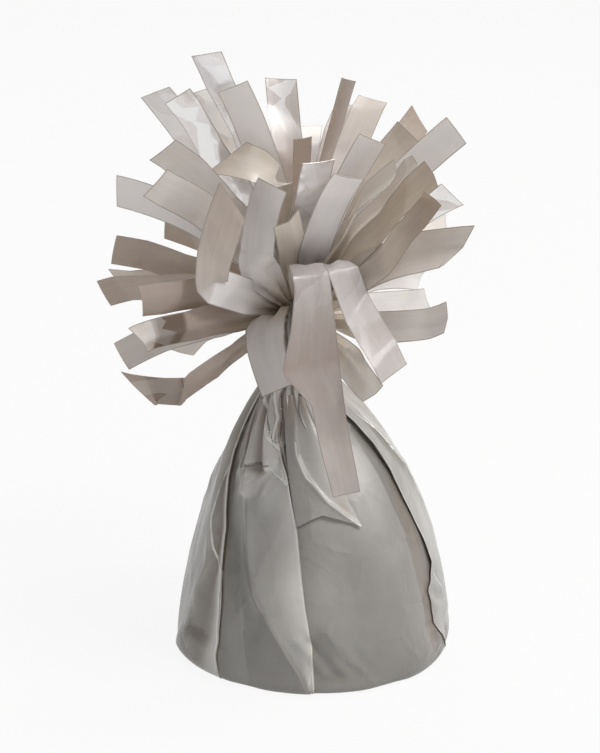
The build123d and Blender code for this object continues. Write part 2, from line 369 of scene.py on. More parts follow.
@dataclass(frozen=True)
class WrapFilm(Finish):
    """Pearl film pulled round the bell, greyer, and golden brown where it lies in layers.

    Scales are in lumps per metre, and the line is how far from a crease its line fades out.
    """

    # pale and grey: painted light and shade, chosen by the tone
    pale: Colour = (0.69, 0.672, 0.644)
    grey: Colour = (0.20, 0.19, 0.176)
    # layered: painted golden brown shade where the film lies in layers, in hollows and under laps
    layered: Colour = (0.36, 0.262, 0.18)
    # glint: painted highlight lines along the creases
    glint: Colour = (0.92, 0.915, 0.90)
    shadow: Colour = (0.13, 0.105, 0.085)
    line: float = 0.32
    roughness: float = 0.4
    coat: float = 0.3
    coat_roughness: float = 0.12
    cloud_scale: float = 40.0
    patch_scale: float = 120.0
    facet_scale: float = 95.0
    facet_warp: float = 14.0
    crease_scale: float = 200.0
    crease_stretch: tuple[float, float, float] = (1.0, 1.0, 0.35)
    pucker_scale: float = 600.0
    fine_scale: float = 1100.0
    bump_strength: float = 0.45
    bump_depth: float = 0.4 * MM

    def looks(self, graph: Graph, place: Wire) -> dict[str, object]:
        """The shader's inputs, from the wrap's own attributes and place.

        Args:
            graph: The material's graph.
            place: Object coordinates.

        Returns:
            Values and wires by the name of the shader's input.
        """
        cloud = graph.noise(place, self.cloud_scale, 3.0)
        patch = graph.noise(place, self.patch_scale, 4.0, 0.6)
        warped = graph.scaled(place, patch * self.facet_warp + self.facet_scale)
        facet = graph.facets(warped)
        # The tone paints the wrap's light and shade.
        shade = graph.attribute("tone") + (cloud - 0.5) * 0.3 + (patch - 0.5) * 0.2 + (facet - 0.5) * 0.05
        colour = graph.mix(shade.ramp(-0.1, 1.1), self.grey, self.pale)
        # Painted golden brown shade of layers, hollows and laps
        colour = graph.mix(graph.attribute("layered") * (0.5 + patch * 0.6), colour, self.layered)
        # Painted shadow lines and painted highlight lines along the creases
        for name, tint, most in (("dark", self.shadow, 0.75), ("bright", self.glint, 0.8)):
            drawn = 1 - graph.attribute(f"{name}_side").size().ramp(0.08, self.line)
            close = 1 - graph.attribute(f"{name}_gap").ramp(0.7, 1.0)
            colour = graph.mix(drawn * close * patch.ramp(0.25, 0.5) * most, colour, tint)
        fine = graph.noise(place, self.fine_scale, 4.0)
        stretched = graph.wire("ShaderNodeMapping", {"Vector": place, "Scale": self.crease_stretch})
        crease = graph.noise(stretched, self.crease_scale, 4.0, 0.62)
        pucker = graph.noise(place, self.pucker_scale, 3.0, 0.55)
        cells = {"Vector": warped, "Scale": 1.0}
        off_edge = graph.wire("ShaderNodeTexVoronoi", cells, feature="DISTANCE_TO_EDGE")
        fold = (1 - off_edge.ramp(0.0, 0.12)) * patch.ramp(0.4, 0.6)
        height = (crease - 0.5).size() + pucker * 0.1 + fine * 0.03 + fold * 0.6
        return {
            "Base Color": colour,
            "Roughness": self.roughness + (patch - 0.5) * 0.22 + (fine - 0.5) * 0.06,
            "Coat Weight": self.coat + (cloud - 0.5) * 0.25,
            "Coat Roughness": self.coat_roughness,
            "Normal": graph.bump(self.bump_strength, self.bump_depth, height),
        }


@dataclass(frozen=True)
class CastPlaster(Finish):
    """Cast plaster of the hidden core, matte and pitted."""

    light: Colour = (0.78, 0.76, 0.72)
    dark: Colour = (0.62, 0.59, 0.55)
    roughness: float = 0.82
    cloud_scale: float = 70.0
    pit_scale: float = 600.0

    def looks(self, graph: Graph, place: Wire) -> dict[str, object]:
        """The shader's inputs, cloudy and pitted.

        Args:
            graph: The material's graph.
            place: Object coordinates.

        Returns:
            Values and wires by the name of the shader's input.
        """
        cloud = graph.noise(place, self.cloud_scale, 5.0, 0.6)
        pits = graph.noise(place, self.pit_scale, 3.0).ramp(0.62, 0.75)
        colour = graph.mix(cloud.ramp(0.35, 0.7), self.dark, self.light)
        return {
            "Base Color": graph.mix(pits * 0.5, colour, self.dark),
            "Roughness": self.roughness + (cloud - 0.5) * 0.2,
            "Normal": graph.bump(0.4, 0.3 * MM, cloud * 0.4 - pits),
        }


@dataclass(frozen=True)
class TieCoat(Finish):
    """Ivory plastic coat of the twist tie, satin and a little rubbed."""

    light: Colour = (0.76, 0.73, 0.68)
    dark: Colour = (0.52, 0.47, 0.41)
    roughness: float = 0.42
    rub_scale: float = 380.0

    def looks(self, graph: Graph, place: Wire) -> dict[str, object]:
        """The shader's inputs, darker where the coat is rubbed.

        Args:
            graph: The material's graph.
            place: Object coordinates.

        Returns:
            Values and wires by the name of the shader's input.
        """
        rub = graph.noise(place, self.rub_scale, 4.0, 0.6)
        return {
            "Base Color": graph.mix(rub.ramp(0.35, 0.7), self.dark, self.light),
            "Roughness": self.roughness + (rub - 0.5) * 0.25,
            "Normal": graph.bump(0.25, 0.1 * MM, rub),
        }


@dataclass(frozen=True)
class StudioFloor(Finish):
    """White paper under the object: it shows white to the camera and keeps the object's shadow."""

    paper: Colour = (0.6, 0.6, 0.6)
    roughness: float = 0.9
    seen: float = 0.9

    def surface(self, graph: Graph) -> Wire:
        """Mixes plain white for camera and mirror rays into the lit paper.

        Args:
            graph: The material's graph.

        Returns:
            The mixed shader.
        """
        looks = {"Base Color": (*self.paper, 1.0), "Roughness": self.roughness}
        paper = graph.wire("ShaderNodeBsdfPrincipled", looks)
        white = graph.wire("ShaderNodeEmission", {"Color": WHITE, "Strength": 1.0})
        camera, mirror = (
            graph.wire("ShaderNodeLightPath", None, f"Is {ray} Ray") for ray in ("Camera", "Glossy")
        )
        share = (camera + mirror).least(1.0) * self.seen
        return graph.wire("ShaderNodeMixShader", {0: share, 1: paper, 2: white})


# Fringe

OPENING: Knots = ((0, 2.4), (4, 3.8), (12, 6.5))


@dataclass(frozen=True)
class Strip:
    """One cut strip: bearings along it, and how its film lies.

    Rows are (distance in mm, turn, rise, roll), the last three in degrees, and widths are (distance, width)
    in mm.  The tone runs from dusky at 0 to pale at 1, warm from lilac to tan and gloss from satin to
    bright, each one number or (distance, number) knots.  In mm, the bow is how far the edges stand off the
    middle, the vee how deep a fold along the middle is, the crush how deep the film is crumpled, the kink
    how deep it is creased across, the slant how far the cut end leans and the shift how far the film lies
    to the side of its line.
    """

    name: str
    rows: tuple[Row, ...]
    tone: float | Knots = 0.6
    warm: float | Knots = 0.45
    gloss: float | Knots = 0.0
    bow: float = 0.2
    vee: float = 0.0
    crush: float = 0.2
    kink: float = 0.7
    slant: float = 0.0
    widths: Knots = OPENING
    shift: Knots = ((0, 0.0),)

    @property
    def node(self) -> str:
        """Name of the solid that the strip stands for."""
        return f"strip_{self.name}"


@dataclass(frozen=True)
class FilmCut:
    """What all strips share, in metres, with scales in lumps per metre.

    Pairs are distances along a strip between which it opens or is crushed more and more.
    """

    centre: tuple[float, float, float] = (-3 * MM, 0.0, 72 * MM)
    knot: float = 6.2 * MM
    unfold: float = 9 * MM
    film: float = 0.09 * MM
    pleat: float = 0.7 * MM
    pleat_length: float = 22 * MM
    opened: Pair = (4 * MM, 24 * MM)
    crushed: Pair = (6 * MM, 22 * MM)
    slant_length: float = 5 * MM
    crease_spacing: float = 10.5 * MM
    crease_leans: tuple[float, ...] = (0.5, -0.35, 0.15, -0.7)
    crumple_scale: float = 55.0
    fine_scale: float = 210.0
    spacing: float = 0.7 * MM
    columns: int = 9

    def lay(self, strip: Strip) -> Looks:
        """Lays a strip's middle line out along its bearings.

        Args:
            strip: The strip.

        Returns:
            Arrays by name, one entry for each station: place, along, across, normal, half, reach and tip.
        """
        first = strip.rows[0]
        bends = np.array([row[0] * MM for row in strip.rows])
        length = bends[-1]
        even = np.linspace(0.0, length, math.ceil(length / self.spacing) + 1)
        reach = np.unique(np.concatenate([even, bends]).round(6))

        def bearings(at: np.ndarray) -> list[np.ndarray]:
            """Turn, rise and roll at distances along the strip."""
            return [np.interp(at, bends, angles) for angles in list(zip(*strip.rows))[1:]]

        turn, rise, _ = bearings((reach[1:] + reach[:-1]) / 2)
        steps = heading(turn, rise) * np.diff(reach)[:, None]
        root = np.array(self.centre) + heading(first[1], first[2]) * self.knot
        place = root + np.concatenate([np.zeros((1, 3)), np.cumsum(steps, axis=0)])
        turn, rise, roll = bearings(reach)
        pleated = math.copysign(QUARTER_TURN, first[3] or 1.0)
        roll = roll + (pleated - first[3]) * np.clip(1 - reach / self.unfold, 0.0, 1.0)
        along = heading(turn, rise)
        level = heading(turn + QUARTER_TURN, np.zeros_like(turn))
        lean = np.radians(roll)[:, None]
        across = level * np.cos(lean) + np.cross(along, level) * np.sin(lean)
        aside = along_knots(strip.shift, reach / MM) * MM
        return {
            "place": place + across * aside[:, None],
            "along": along,
            "across": across,
            "normal": np.cross(along, across),
            "half": along_knots(strip.widths, reach / MM) * MM / 2,
            "reach": reach,
            "tip": length - reach,
        }

    def lie(self, strip: Strip, index: int) -> Looks:
        """Lays a strip out, with how its film lies.

        Args:
            strip: The strip.
            index: Its place in its tuft.

        Returns:
            Arrays by name, one entry for each station: those of the middle line and the film's.
        """
        laid = self.lay(strip)
        reach = laid["reach"]
        ones = np.ones_like(reach)
        laid["strip"] = ones * index
        for key in ("tone", "warm", "gloss"):
            given = getattr(strip, key)
            laid[key] = along_knots(given if isinstance(given, tuple) else ((0, given),), reach / MM)
        laid["lean"] = ones * self.crease_leans[index % len(self.crease_leans)]
        for key in ("bow", "vee", "kink"):
            laid[key] = smooth(*self.opened, reach) * getattr(strip, key) * MM
        laid["pleat"] = (1 - smooth(0, self.pleat_length, reach)) * self.pleat
        laid["crush"] = smooth(*self.crushed, reach) * strip.crush * MM
        laid["slant"] = (1 - smooth(0.0, self.slant_length, laid["tip"])) * strip.slant * MM
        return laid


class StripTree:
    """Geometry nodes that sweep film along the middle lines of a tuft's strips."""

    INPUTS = (
        ("Geometry", "NodeSocketGeometry"),
        ("Columns", "NodeSocketInt"),
        ("Crumple Scale", "NodeSocketFloat"),
        ("Fine Scale", "NodeSocketFloat"),
        ("Crease Spacing", "NodeSocketFloat"),
        ("Seed", "NodeSocketFloat"),
        ("Film", "NodeSocketMaterial"),
    )
    KEPT = ("reach", "tip", "half", "tone", "warm", "gloss", "strip")
    STRIP_STEP = 0.37
    CREASE_STEP = 7.3
    CREASE_SEED = 3.1
    WIDE_CRUMPLE = 1.8
    FINE_CRUMPLE = 1.5

    def __init__(self) -> None:
        """Builds the tree."""
        self.tree = bpy.data.node_groups.new("film_strips", "GeometryNodeTree")
        self.identifiers: dict[str, str] = {}
        for name, kind in self.INPUTS:
            made = self.tree.interface.new_socket(name, in_out="INPUT", socket_type=kind)
            self.identifiers[name] = made.identifier
        self.tree.interface.new_socket("Geometry", in_out="OUTPUT", socket_type="NodeSocketGeometry")
        self.graph = Graph(self.tree)
        given = self.graph.node("NodeGroupInput")
        self.given = {name: Wire(self.graph, given.outputs[name]) for name, _ in self.INPUTS}
        self.graph.node("NodeGroupOutput", {0: self._parted(self._swept())})

    def _stored(self, name: str, kind: str = "FLOAT") -> Wire:
        """An attribute of the geometry at hand."""
        named = {"Name": name}
        return self.graph.wire("GeometryNodeInputNamedAttribute", named, "Attribute", data_type=kind)

    def _swept(self) -> Wire:
        """Lays a grid with a row for each station and moves it to the film's place.

        Returns:
            The film, with what its finish reads stored on its points.
        """
        graph, given = self.graph, self.given
        lines, columns, seed, spacing = (
            given[name] for name in ("Geometry", "Columns", "Seed", "Crease Spacing")
        )
        count = graph.wire(
            "GeometryNodeAttributeDomainSize", {"Geometry": lines}, "Point Count", component="MESH"
        )
        grid = graph.wire("GeometryNodeMeshGrid", {"Vertices X": count, "Vertices Y": columns}, "Mesh")
        index = graph.wire("GeometryNodeInputIndex")
        row = ((index + 0.5) / columns).floor()
        side = (index - row * columns) / (columns - 1.0) * 2.0 - 1.0

        def station(name: str, kind: str = "FLOAT") -> Wire:
            """An attribute of the middle line, at the row's station."""
            inputs = {"Geometry": lines, "Value": self._stored(name, kind), "Index": row}
            return graph.wire("GeometryNodeSampleIndex", inputs, data_type=kind, domain="POINT")

        reach, strip = station("reach"), station("strip")
        across_place = side * station("half")
        local = graph.combine(reach, across_place, strip * self.STRIP_STEP + seed)
        wide = graph.noise(local, given["Crumple Scale"], 1.0)
        fine = graph.noise(local, given["Fine Scale"], 2.0)
        lumps = (wide - 0.5) * self.WIDE_CRUMPLE + (fine - 0.5).size() * self.FINE_CRUMPLE
        crumple = station("crush") * lumps
        bow = station("bow") * (side * side - 0.33)
        pleat = station("pleat") * ((side + 1.0).fold(0.5) * 4.0 - 1.0)
        vee = station("vee") * (side.size() - 0.5)
        start = (strip * self.CREASE_STEP + seed * self.CREASE_SEED) * MM
        leaning = reach + across_place * station("lean") + start
        kink = station("kink") * (leaning.fold(spacing) / spacing * 2.0 - 1.0)
        offsets = (
            ("across", across_place),
            ("normal", bow + pleat + vee + kink + crumple),
            ("along", station("slant") * side),
        )
        place = station("place", "FLOAT_VECTOR")
        for direction, amount in offsets:
            step = graph.scaled(station(direction, "FLOAT_VECTOR"), amount)
            place = graph.wire("ShaderNodeVectorMath", {0: place, 1: step}, operation="ADD")
        film = graph.wire("GeometryNodeSetPosition", {"Geometry": grid, "Position": place})
        values = {name: station(name) for name in self.KEPT}
        values["across_place"] = across_place
        for name, value in values.items():
            inputs = {"Geometry": film, "Name": name, "Value": value}
            film = graph.wire("GeometryNodeStoreNamedAttribute", inputs, data_type="FLOAT", domain="POINT")
        return film

    def _parted(self, film: Wire) -> Wire:
        """Cuts the swept film between its strips and gives it its finish.

        Args:
            film: The film as one grid.

        Returns:
            The strips.
        """
        graph = self.graph
        averaged = graph.wire(
            "GeometryNodeFieldOnDomain", {0: self._stored("strip")}, domain="FACE", data_type="FLOAT"
        )
        between = (averaged - (averaged + 0.5).floor()).size().more_than(0.01)
        inputs = {"Geometry": film, "Selection": between}
        parted = graph.wire("GeometryNodeDeleteGeometry", inputs, domain="FACE", mode="ALL")
        smoothed = graph.wire("GeometryNodeSetShadeSmooth", {0: parted})
        real = graph.wire("GeometryNodeRealizeInstances", {0: smoothed})
        inputs = {"Geometry": real, "Material": self.given["Film"]}
        return graph.wire("GeometryNodeSetMaterial", inputs)


@dataclass(frozen=True)
class Tuft:
    """The strips of the fringe that swing together."""

    name: str
    strips: tuple[Strip, ...]
    seed: float
    cut: FilmCut

    def middle_lines(self) -> bpy.types.Mesh:
        """Lays the strips' middle lines.

        Returns:
            A mesh of edges, with the film's lie stored on its points.
        """
        laid = [self.cut.lie(strip, index) for index, strip in enumerate(self.strips)]
        joined = {key: np.concatenate([one[key] for one in laid]) for key in laid[0]}
        points, owner = joined["place"], joined["strip"]
        edges = [(k, k + 1) for k in range(len(points) - 1) if owner[k] == owner[k + 1]]
        mesh = bpy.data.meshes.new(f"{self.name}_lines")
        mesh.from_pydata([tuple(point) for point in points], edges, [])
        for key, values in joined.items():
            kind, item = ("FLOAT_VECTOR", "vector") if values.ndim == 2 else ("FLOAT", "value")
            made = mesh.attributes.new(key, kind, "POINT")
            made.data.foreach_set(item, values.astype(np.float32).ravel())
        return mesh

    def build(self, tree: StripTree, material: bpy.types.Material) -> bpy.types.Object:
        """Sweeps the strips and makes them one plain mesh.

        Args:
            tree: Geometry nodes that sweep film along lines.
            material: Finish of the film.

        Returns:
            The tuft's object.
        """
        source = added(f"{self.name}_lines", self.middle_lines())
        sweep = source.modifiers.new("film_strips", "NODES")
        sweep.node_group = tree.tree
        settings = {
            "Columns": self.cut.columns,
            "Crumple Scale": self.cut.crumple_scale,
            "Fine Scale": self.cut.fine_scale,
            "Crease Spacing": self.cut.crease_spacing,
            "Seed": self.seed,
            "Film": material,
        }
        for name, setting in settings.items():
            sweep[tree.identifiers[name]] = setting
        return filmed(source, f"fringe_{self.name}", material, self.cut.film, 0.0)

    def dress(self, piece: bpy.types.Object) -> None:
        """Puts the tuft on its body in place of its plain strips.

        Args:
            piece: The tuft's object.
        """
        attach(piece, f"tuft_{self.name}")
        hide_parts(*[strip.node for strip in self.strips])


def added(name: str, data: bpy.types.ID) -> bpy.types.Object:
    """Adds an object to the scene.

    Args:
        name: Its name.
        data: Its mesh, lamp or camera.

    Returns:
        The object.
    """
    made = bpy.data.objects.new(name, data)
    bpy.context.scene.collection.objects.link(made)
    return made


def filmed(
    source: bpy.types.Object, name: str, material: bpy.types.Material, film: float, offset: float
) -> bpy.types.Object:
    """Gives an object the thickness of its film and makes it a plain mesh.

    Args:
        source: The object with its modifiers, which is removed.
        name: Name of the new object.
        material: Its one material.
        film: Thickness of the film, in metres.
        offset: Side that the film thickens to, 0 for both and -1 for inward.

    Returns:
        The new object, in the scene.
    """
    thick = source.modifiers.new("film", "SOLIDIFY")
    thick.thickness = film
    thick.offset = offset
    bpy.context.view_layer.update()
    evaluated = source.evaluated_get(bpy.context.evaluated_depsgraph_get())
    mesh = bpy.data.meshes.new_from_object(evaluated)
    mesh.name = name
    mesh.materials.clear()
    mesh.materials.append(material)
    mesh.polygons.foreach_set("material_index", [0] * len(mesh.polygons))
    mesh.set_sharp_from_angle(angle=math.radians(SHARP_EDGE))
    bpy.data.objects.remove(source)
    return added(name, mesh)


FOLDED: Knots = ((0, 2.4), (4, 4.0), (13, 8.0), (28, 8.4), (37, 7.4))
HANGING: Knots = (
    (0, 3.0), (6, 5.2), (13, 6.8), (24, 7.4), (31, 9.4), (38, 12.0), (39.5, 11.6), (46, 7.2), (65, 6.3),
)
HANGING_SHIFT: Knots = ((0, 0.0), (24, 0.0), (31, -1.0), (38, -2.6), (39.5, -2.4), (46, -0.3), (65, 0.0))
BROAD: Knots = ((0, 2.6), (5, 4.4), (13, 7.2), (44, 7.4))

# Tones paint each strip's light and shade; gloss also paints white glints on its facets.
FRINGE: dict[str, tuple[Strip, ...]] = {
    "right": (
        Strip("right_high", ((0, 346, 60, 75), (46, 342, 42, 82)), 0.95, 0.4, crush=0.1, kink=0.15),
        Strip("right_inner", ((0, 362, 68, 60), (38, 358, 50, 70)), ((0, 0.7), (38, 0.35)), 0.7),
        Strip("right_low", ((0, 324, 0, 70), (33, 312, 28, 60)), 0.7, 0.4, vee=0.5),
    ),
    "right_back": (
        Strip("right_far", ((0, 36, 36, 80), (39, 38, 8, 84)), 0.75, 0.35, 0.45, slant=-2.6),
        Strip("right_corner", ((0, 51, 22, 70), (46, 51, -4, 80)), 0.8, 0.75),
        Strip("right_level", ((0, 54, 8, 80), (42, 55, -24, 85)), 1.15, 0.4, slant=2.0, vee=0.6),
        Strip("right_low_back", ((0, 44, -10, 80), (36, 50, -12, 80)), 0.75, 0.4, slant=-2.0),
        Strip(
            "back_right_high", ((0, 45, 54, 60), (44, 47, 30, 72)), ((0, 0.6), (30, 0.45), (44, 0.1)),
            0.7, slant=0.4,
        ),
    ),
    "back_right": (
        Strip("back_right_mid", ((0, 64, 58, 10), (45, 63, 32, 16)), 0.4, 0.6),
        Strip("back_right_top", ((0, 73, 56, 0), (45, 72, 30, 0)), 0.4, 0.5, slant=-0.6),
        Strip("back_right_low", ((0, 74, 20, 50), (46, 76, -8, 40)), 0.6),
        Strip("back_right_droop", ((0, 66, -8, 20), (45, 66, -44, 10)), 0.6),
    ),
    "back": (
        Strip("back_centre", ((0, 89, 44, 0), (46, 86, 20, 0)), 0.7, 0.5),
        Strip("back_level", ((0, 94, 16, 30), (46, 96, -14, 20)), 0.6),
        Strip("back_droop", ((0, 98, -10, 10), (45, 100, -48, 0)), 0.65),
    ),
    "back_left": (
        Strip("back_left_glossy", ((0, 136, 62, 130), (45, 135, 42, 130)), 0.7, 0.6, 0.3, slant=-1.0),
        Strip("back_left_low", ((0, 118, 20, 60), (45, 117, -10, 60)), 0.5),
        Strip("back_left_droop", ((0, 126, -14, 40), (45, 124, -40, 30)), 0.6),
        Strip("left_dark", ((0, 133, 20, 80), (38, 130, 2, 90)), 0.05, 0.3),
    ),
    "left_back": (
        Strip(
            "left_high", ((0, 156, 60, 100), (48, 149, 42, 100)), 0.85, 0.25, 0.3, slant=-1.4, kink=0.2,
        ),
        Strip("left_point", ((0, 146, 49, 100), (38, 147, 32, 100)), 0.4, 0.7, slant=-1.4),
        Strip("left_dusky", ((0, 150, 14, 85), (40, 148, 0, 95)), 0.1, 0.35, crush=0.12, slant=-0.7),
        Strip("left_corner", ((0, 142, 4, 85), (45, 141, -14, 60)), 0.3, 0.4),
    ),
    "left": (
        Strip(
            "left_level", ((0, 167, 50, 85), (20, 166, 28, 90), (40, 166, 8, 95)),
            ((0, 0.5), (20, 0.9), (40, 1.1)), 0.3, crush=0.12, slant=0.5, kink=0.15,
        ),
        Strip("left_far", ((0, 160, 12, 80), (39, 155, -20, 70)), 0.1, 0.35, crush=0.12),
        Strip("left_low_back", ((0, 160, -10, 80), (38, 150, -34, 88)), 0.5, 0.4),
        Strip("left_top", ((0, 174, 66, 74), (45, 176, 56, 74)), 1.0, 0.15, 1.0, crush=0.6, kink=0.6),
    ),
    "left_front": (
        Strip("left_broad", ((0, 206, 62, 50), (42, 204, 40, 60)), 0.75, 0.45, crush=0.12, widths=BROAD),
        Strip(
            "left_broad_low", ((0, 219, 54, 55), (43, 217, 32, 65)), 0.7, 0.5, crush=0.15, widths=BROAD,
        ),
        Strip(
            "left_mid", ((0, 225, 27, 80), (39, 227, 4, 85)), 0.06, 0.4, crush=0.12, slant=1.0, vee=0.4,
        ),
        Strip(
            "left_curled", ((0, 228, 14, 85), (33, 228, 2, 88), (39, 224, -6, 84)),
            ((0, 0.25), (24, 0.0), (27.5, -0.05), (28.2, -0.85), (34.6, -0.75), (35.2, 0.4), (39, 0.45)),
            0.45, ((0, 0.0), (30, 0.0), (31, 0.15), (36, 0.15), (37, 0.0)), vee=1.3, slant=2.0,
        ),
        Strip(
            "left_lowest",
            ((0, 232, -2, 70), (28.6, 226, -26, 70), (29.6, 195, 9, 80), (38.5, 182, 14, 72)),
            ((0, 0.1), (28, 0.05), (29.2, -0.1), (29.8, -0.75), (35.5, -0.7), (36.5, 0.0), (39, 0.1)),
            0.45, ((0, 0.0), (29, 0.0), (31, 0.12)), slant=4.0,
        ),
    ),
    "front_left": (
        Strip(
            "front_left_folded",
            ((0, 237, 26, 85), (25.7, 232, 26, 85), (26.7, 228, 100, 70), (43, 208, 116, 60)),
            ((0, 0.8), (25, 0.95), (26.4, 0.3), (43, 0.25)), ((0, 0.5), (25, 0.3), (28, 0.6)),
            ((0, 0.0),), slant=-2.4, widths=BROAD,
        ),
        Strip(
            "front_left_panel",
            ((0, 244, 38, 50), (15, 241, 44, 50), (20, 220, 92, 20), (34, 206, 118, 20)),
            ((0, 0.9), (14, 1.0), (20, 0.8), (34, 0.7)), ((0, 0.5), (15, 0.45), (20, 0.4)),
            bow=0.8, kink=0.1, widths=((0, 2.4), (5, 4.4), (13, 7.6), (34, 8.2)),
        ),
        Strip(
            "front_left_droop",
            ((0, 246, 20, 0), (7, 242, 6, 0), (12, 262, -56, 5), (17, 316, -68, 58), (24, 326, -67, 67)),
            ((0, 0.5), (12, 0.75), (24, 0.7)),
            0.35, bow=0.4, kink=0.2, widths=((0, 3.0), (6, 6.0), (12, 8.0), (24, 7.4)), slant=-0.4,
        ),
    ),
    "front": (
        Strip("front_narrow", ((0, 263, 57, 30), (25, 266, 50, 40)), 0.65, 1.0, vee=0.8),
        Strip("front_glint", ((0, 274, 69, 10), (37, 288, 50, 5)), 1.15, 0.2, 0.85, crush=0.6, kink=0.6),
        Strip(
            "front_mauve", ((0, 287, 60, -4), (43, 288, 38, -8)),
            0.8, 0.1, bow=0.3, crush=0.1, kink=0.1, slant=-1.0,
        ),
    ),
    "front_hanging": (
        Strip(
            "front_hanging",
            (
                (0, 274, 44, 0), (14, 276, 47, 0), (16.0, 277, 46, 0), (16.3, 278, -6, 0),
                (20.9, 284, -14, 2), (21.2, 286, -62, 4), (23, 288, -66, 5), (33, 308, -78, 15),
                (65, 322, -75, 20),
            ),
            (
                (0, 0.5), (16, 0.55), (20.9, 0.5), (21.3, 0.45), (25, 0.3), (38, 0.08), (40, 0.18),
                (65, 0.32),
            ),
            0.25, ((0, 0.1), (20, 0.15), (30, 0.0)),
            crush=0.12, bow=0.35, kink=0.25, slant=0.4, widths=HANGING, shift=HANGING_SHIFT,
        ),
    ),
    "front_right": (
        Strip(
            "front_curl",
            (
                (0, 298, 48, 0), (13, 298, 49, 0), (13.3, 299, 3, 0), (17.8, 302, -4, 0),
                (18.1, 304, -50, 0), (41, 318, -48, 20),
            ),
            ((0, 0.6), (17.9, 0.65), (18.2, 0.5), (29.5, 0.35), (30.2, 0.2), (41, 0.35)), 0.05,
            ((0, 0.2), (18, 0.3), (24, 0.0)),
            crush=0.12, slant=-0.6, widths=((0, 3.0), (6, 5.8), (12, 7.6), (41, 7.2)),
        ),
        Strip("front_cream", ((0, 309, 60, 40), (40, 308, 42, 50)), 0.75, 1.0, vee=0.6),
        Strip(
            "front_pink", ((0, 315, 71, -10), (41, 305, 50, -20)),
            1.0, 0.25, crush=0.12, kink=0.1, slant=-1.0,
        ),
        Strip(
            "front_low", ((0, 306, -14, 60), (23, 294, -20, 75)),
            0.7, 0.7, slant=2.0, vee=0.4, widths=BROAD,
        ),
    ),
    "right_front": (
        Strip(
            "right_dark", ((0, 316, 30, 60), (42, 314, 58, 70)), ((0, 0.7), (24, 0.45), (42, 0.05)),
            0.65, slant=-1.3,
        ),
        Strip(
            "right_folded", ((0, 326, 40, 60), (37, 328, 15, 62)),
            0.62, 0.45, vee=1.4, kink=0.15, slant=3.4, widths=FOLDED,
        ),
        Strip(
            "front_brown", ((0, 326, 58, 40), (41, 316, 44, 40)), ((0, 0.9), (20, 0.9), (41, 0.5)),
            0.8, vee=0.5, slant=-2.0,
        ),
        Strip("front_tan", ((0, 335, 50, 50), (38, 330, 48, 60)), ((0, 0.8), (38, 0.4)), 0.95, vee=0.5),
    ),
    "crown": (
        Strip(
            "top_dark", ((0, 332, 82, 15), (46, 316, 69, 10)), ((0, 0.6), (22, 0.2), (46, -0.3)),
            0.5, kink=0.15, slant=-1.4,
        ),
        Strip(
            "front_dark", ((0, 272, 82, 60), (36, 276, 62, 50)), ((0, 0.5), (20, 0.15), (36, -0.2)),
            0.6, kink=0.15, slant=-2.0,
        ),
        Strip(
            "left_tallest", ((0, 150, 76, 90), (50, 150, 56, 95)), 1.0, 0.15, 0.6, crush=0.35, slant=-1.2,
        ),
        Strip(
            "back_tall", ((0, 100, 72, 0), (43, 100, 52, 0)), ((0, 0.0), (26, 0.0), (34, 0.4), (43, 0.6)),
            0.25, ((0, 0.0), (30, 0.0), (35, 0.25), (43, 0.45)), crush=0.4, kink=0.5, slant=0.4,
        ),
        Strip("crown_pale", ((0, 191, 82, 72), (44, 193, 65, 72)), 1.15, 0.4, crush=0.1, kink=0.25),
        Strip(
            "crown_tan", ((0, 231, 77, 30), (23.8, 232, 78, 30), (25.2, 194, 40, -40), (36, 180, 8, -80)),
            ((0, 0.7), (20, 0.5), (24, 0.7), (36, 0.4)),
            0.95, bow=0.3, slant=3.6, widths=((0, 2.4), (5, 4.0), (13, 6.5), (36, 7.4)),
        ),
    ),
}


# Wrapped bell

class Hand(Enum):
    """Which side of a fold lies on top, seen from outside."""

    LEFT = -1
    RIGHT = 1


@dataclass(frozen=True)
class Ridge:
    """A line up the wrap, with (height in mm, value) knots.

    The values are its turn in degrees, how far it stands off the bell in mm, how pale the film is there
    and how far it lies in layers, both from 0 to 1.
    """

    turns: Knots
    proud: Knots
    tone: Knots = ((0, 0.5),)
    layered: Knots = ((0, 0.0),)

    def ridges(self) -> list["Ridge"]:
        """The line itself, as a pleat gives its lines."""
        return [self]

    def shifted(self, turn: float, tone: Knots) -> "Ridge":
        """The same line a little further round, in another tone."""
        return Ridge(tuple((place, at + turn) for place, at in self.turns), self.proud, tone, self.layered)


@dataclass(frozen=True)
class Pleat:
    """A fold of the wrap that laps over: its edge, which side is on top, and how far and how high it laps.

    Knots are (height in mm, value): the edge's turn and the lap's depth in degrees, the lift in mm.  The
    panel under the lap stands off the bell by a number of mm, and both have a tone.
    """

    edge: Knots
    over: Hand
    depth: Knots
    lift: Knots
    under: float = 0.0
    tone: float = 0.55
    under_tone: float = 0.4

    def ridges(self) -> list[Ridge]:
        """The lines that the film runs through.

        Returns:
            The lines, from left to right.
        """
        side = self.over.value
        places = sorted({place for knots in (self.edge, self.depth, self.lift) for place, _ in knots})
        edge, depth, lift = (along_knots(knots, places) for knots in (self.edge, self.depth, self.lift))

        def line(turn: np.ndarray, share: float, tone: float, layered: float) -> Ridge:
            """One line at a share of the lift."""
            proud = self.under + share * lift
            return Ridge(tuple(zip(places, turn)), tuple(zip(places, proud)), ((0, tone),), ((0, layered),))

        # The edge's line is painted lighter as a highlight, and the lines under the lap carry painted brown
        # shade.
        lines = [
            line(edge + side * 1.6, 1.0, self.tone, 0.0),
            line(edge, 1.0, self.tone + 0.3, 0.0),
            line(edge + side * 0.5, 0.6, self.tone, 0.3),
            line(edge + side * depth, 0.15, self.under_tone, 0.8),
            line(edge - side * 0.3, 0.0, self.under_tone, 0.25),
            line(edge - side * 2.5, 0.0, self.under_tone, 0.0),
        ]
        return lines if self.over is Hand.LEFT else lines[::-1]


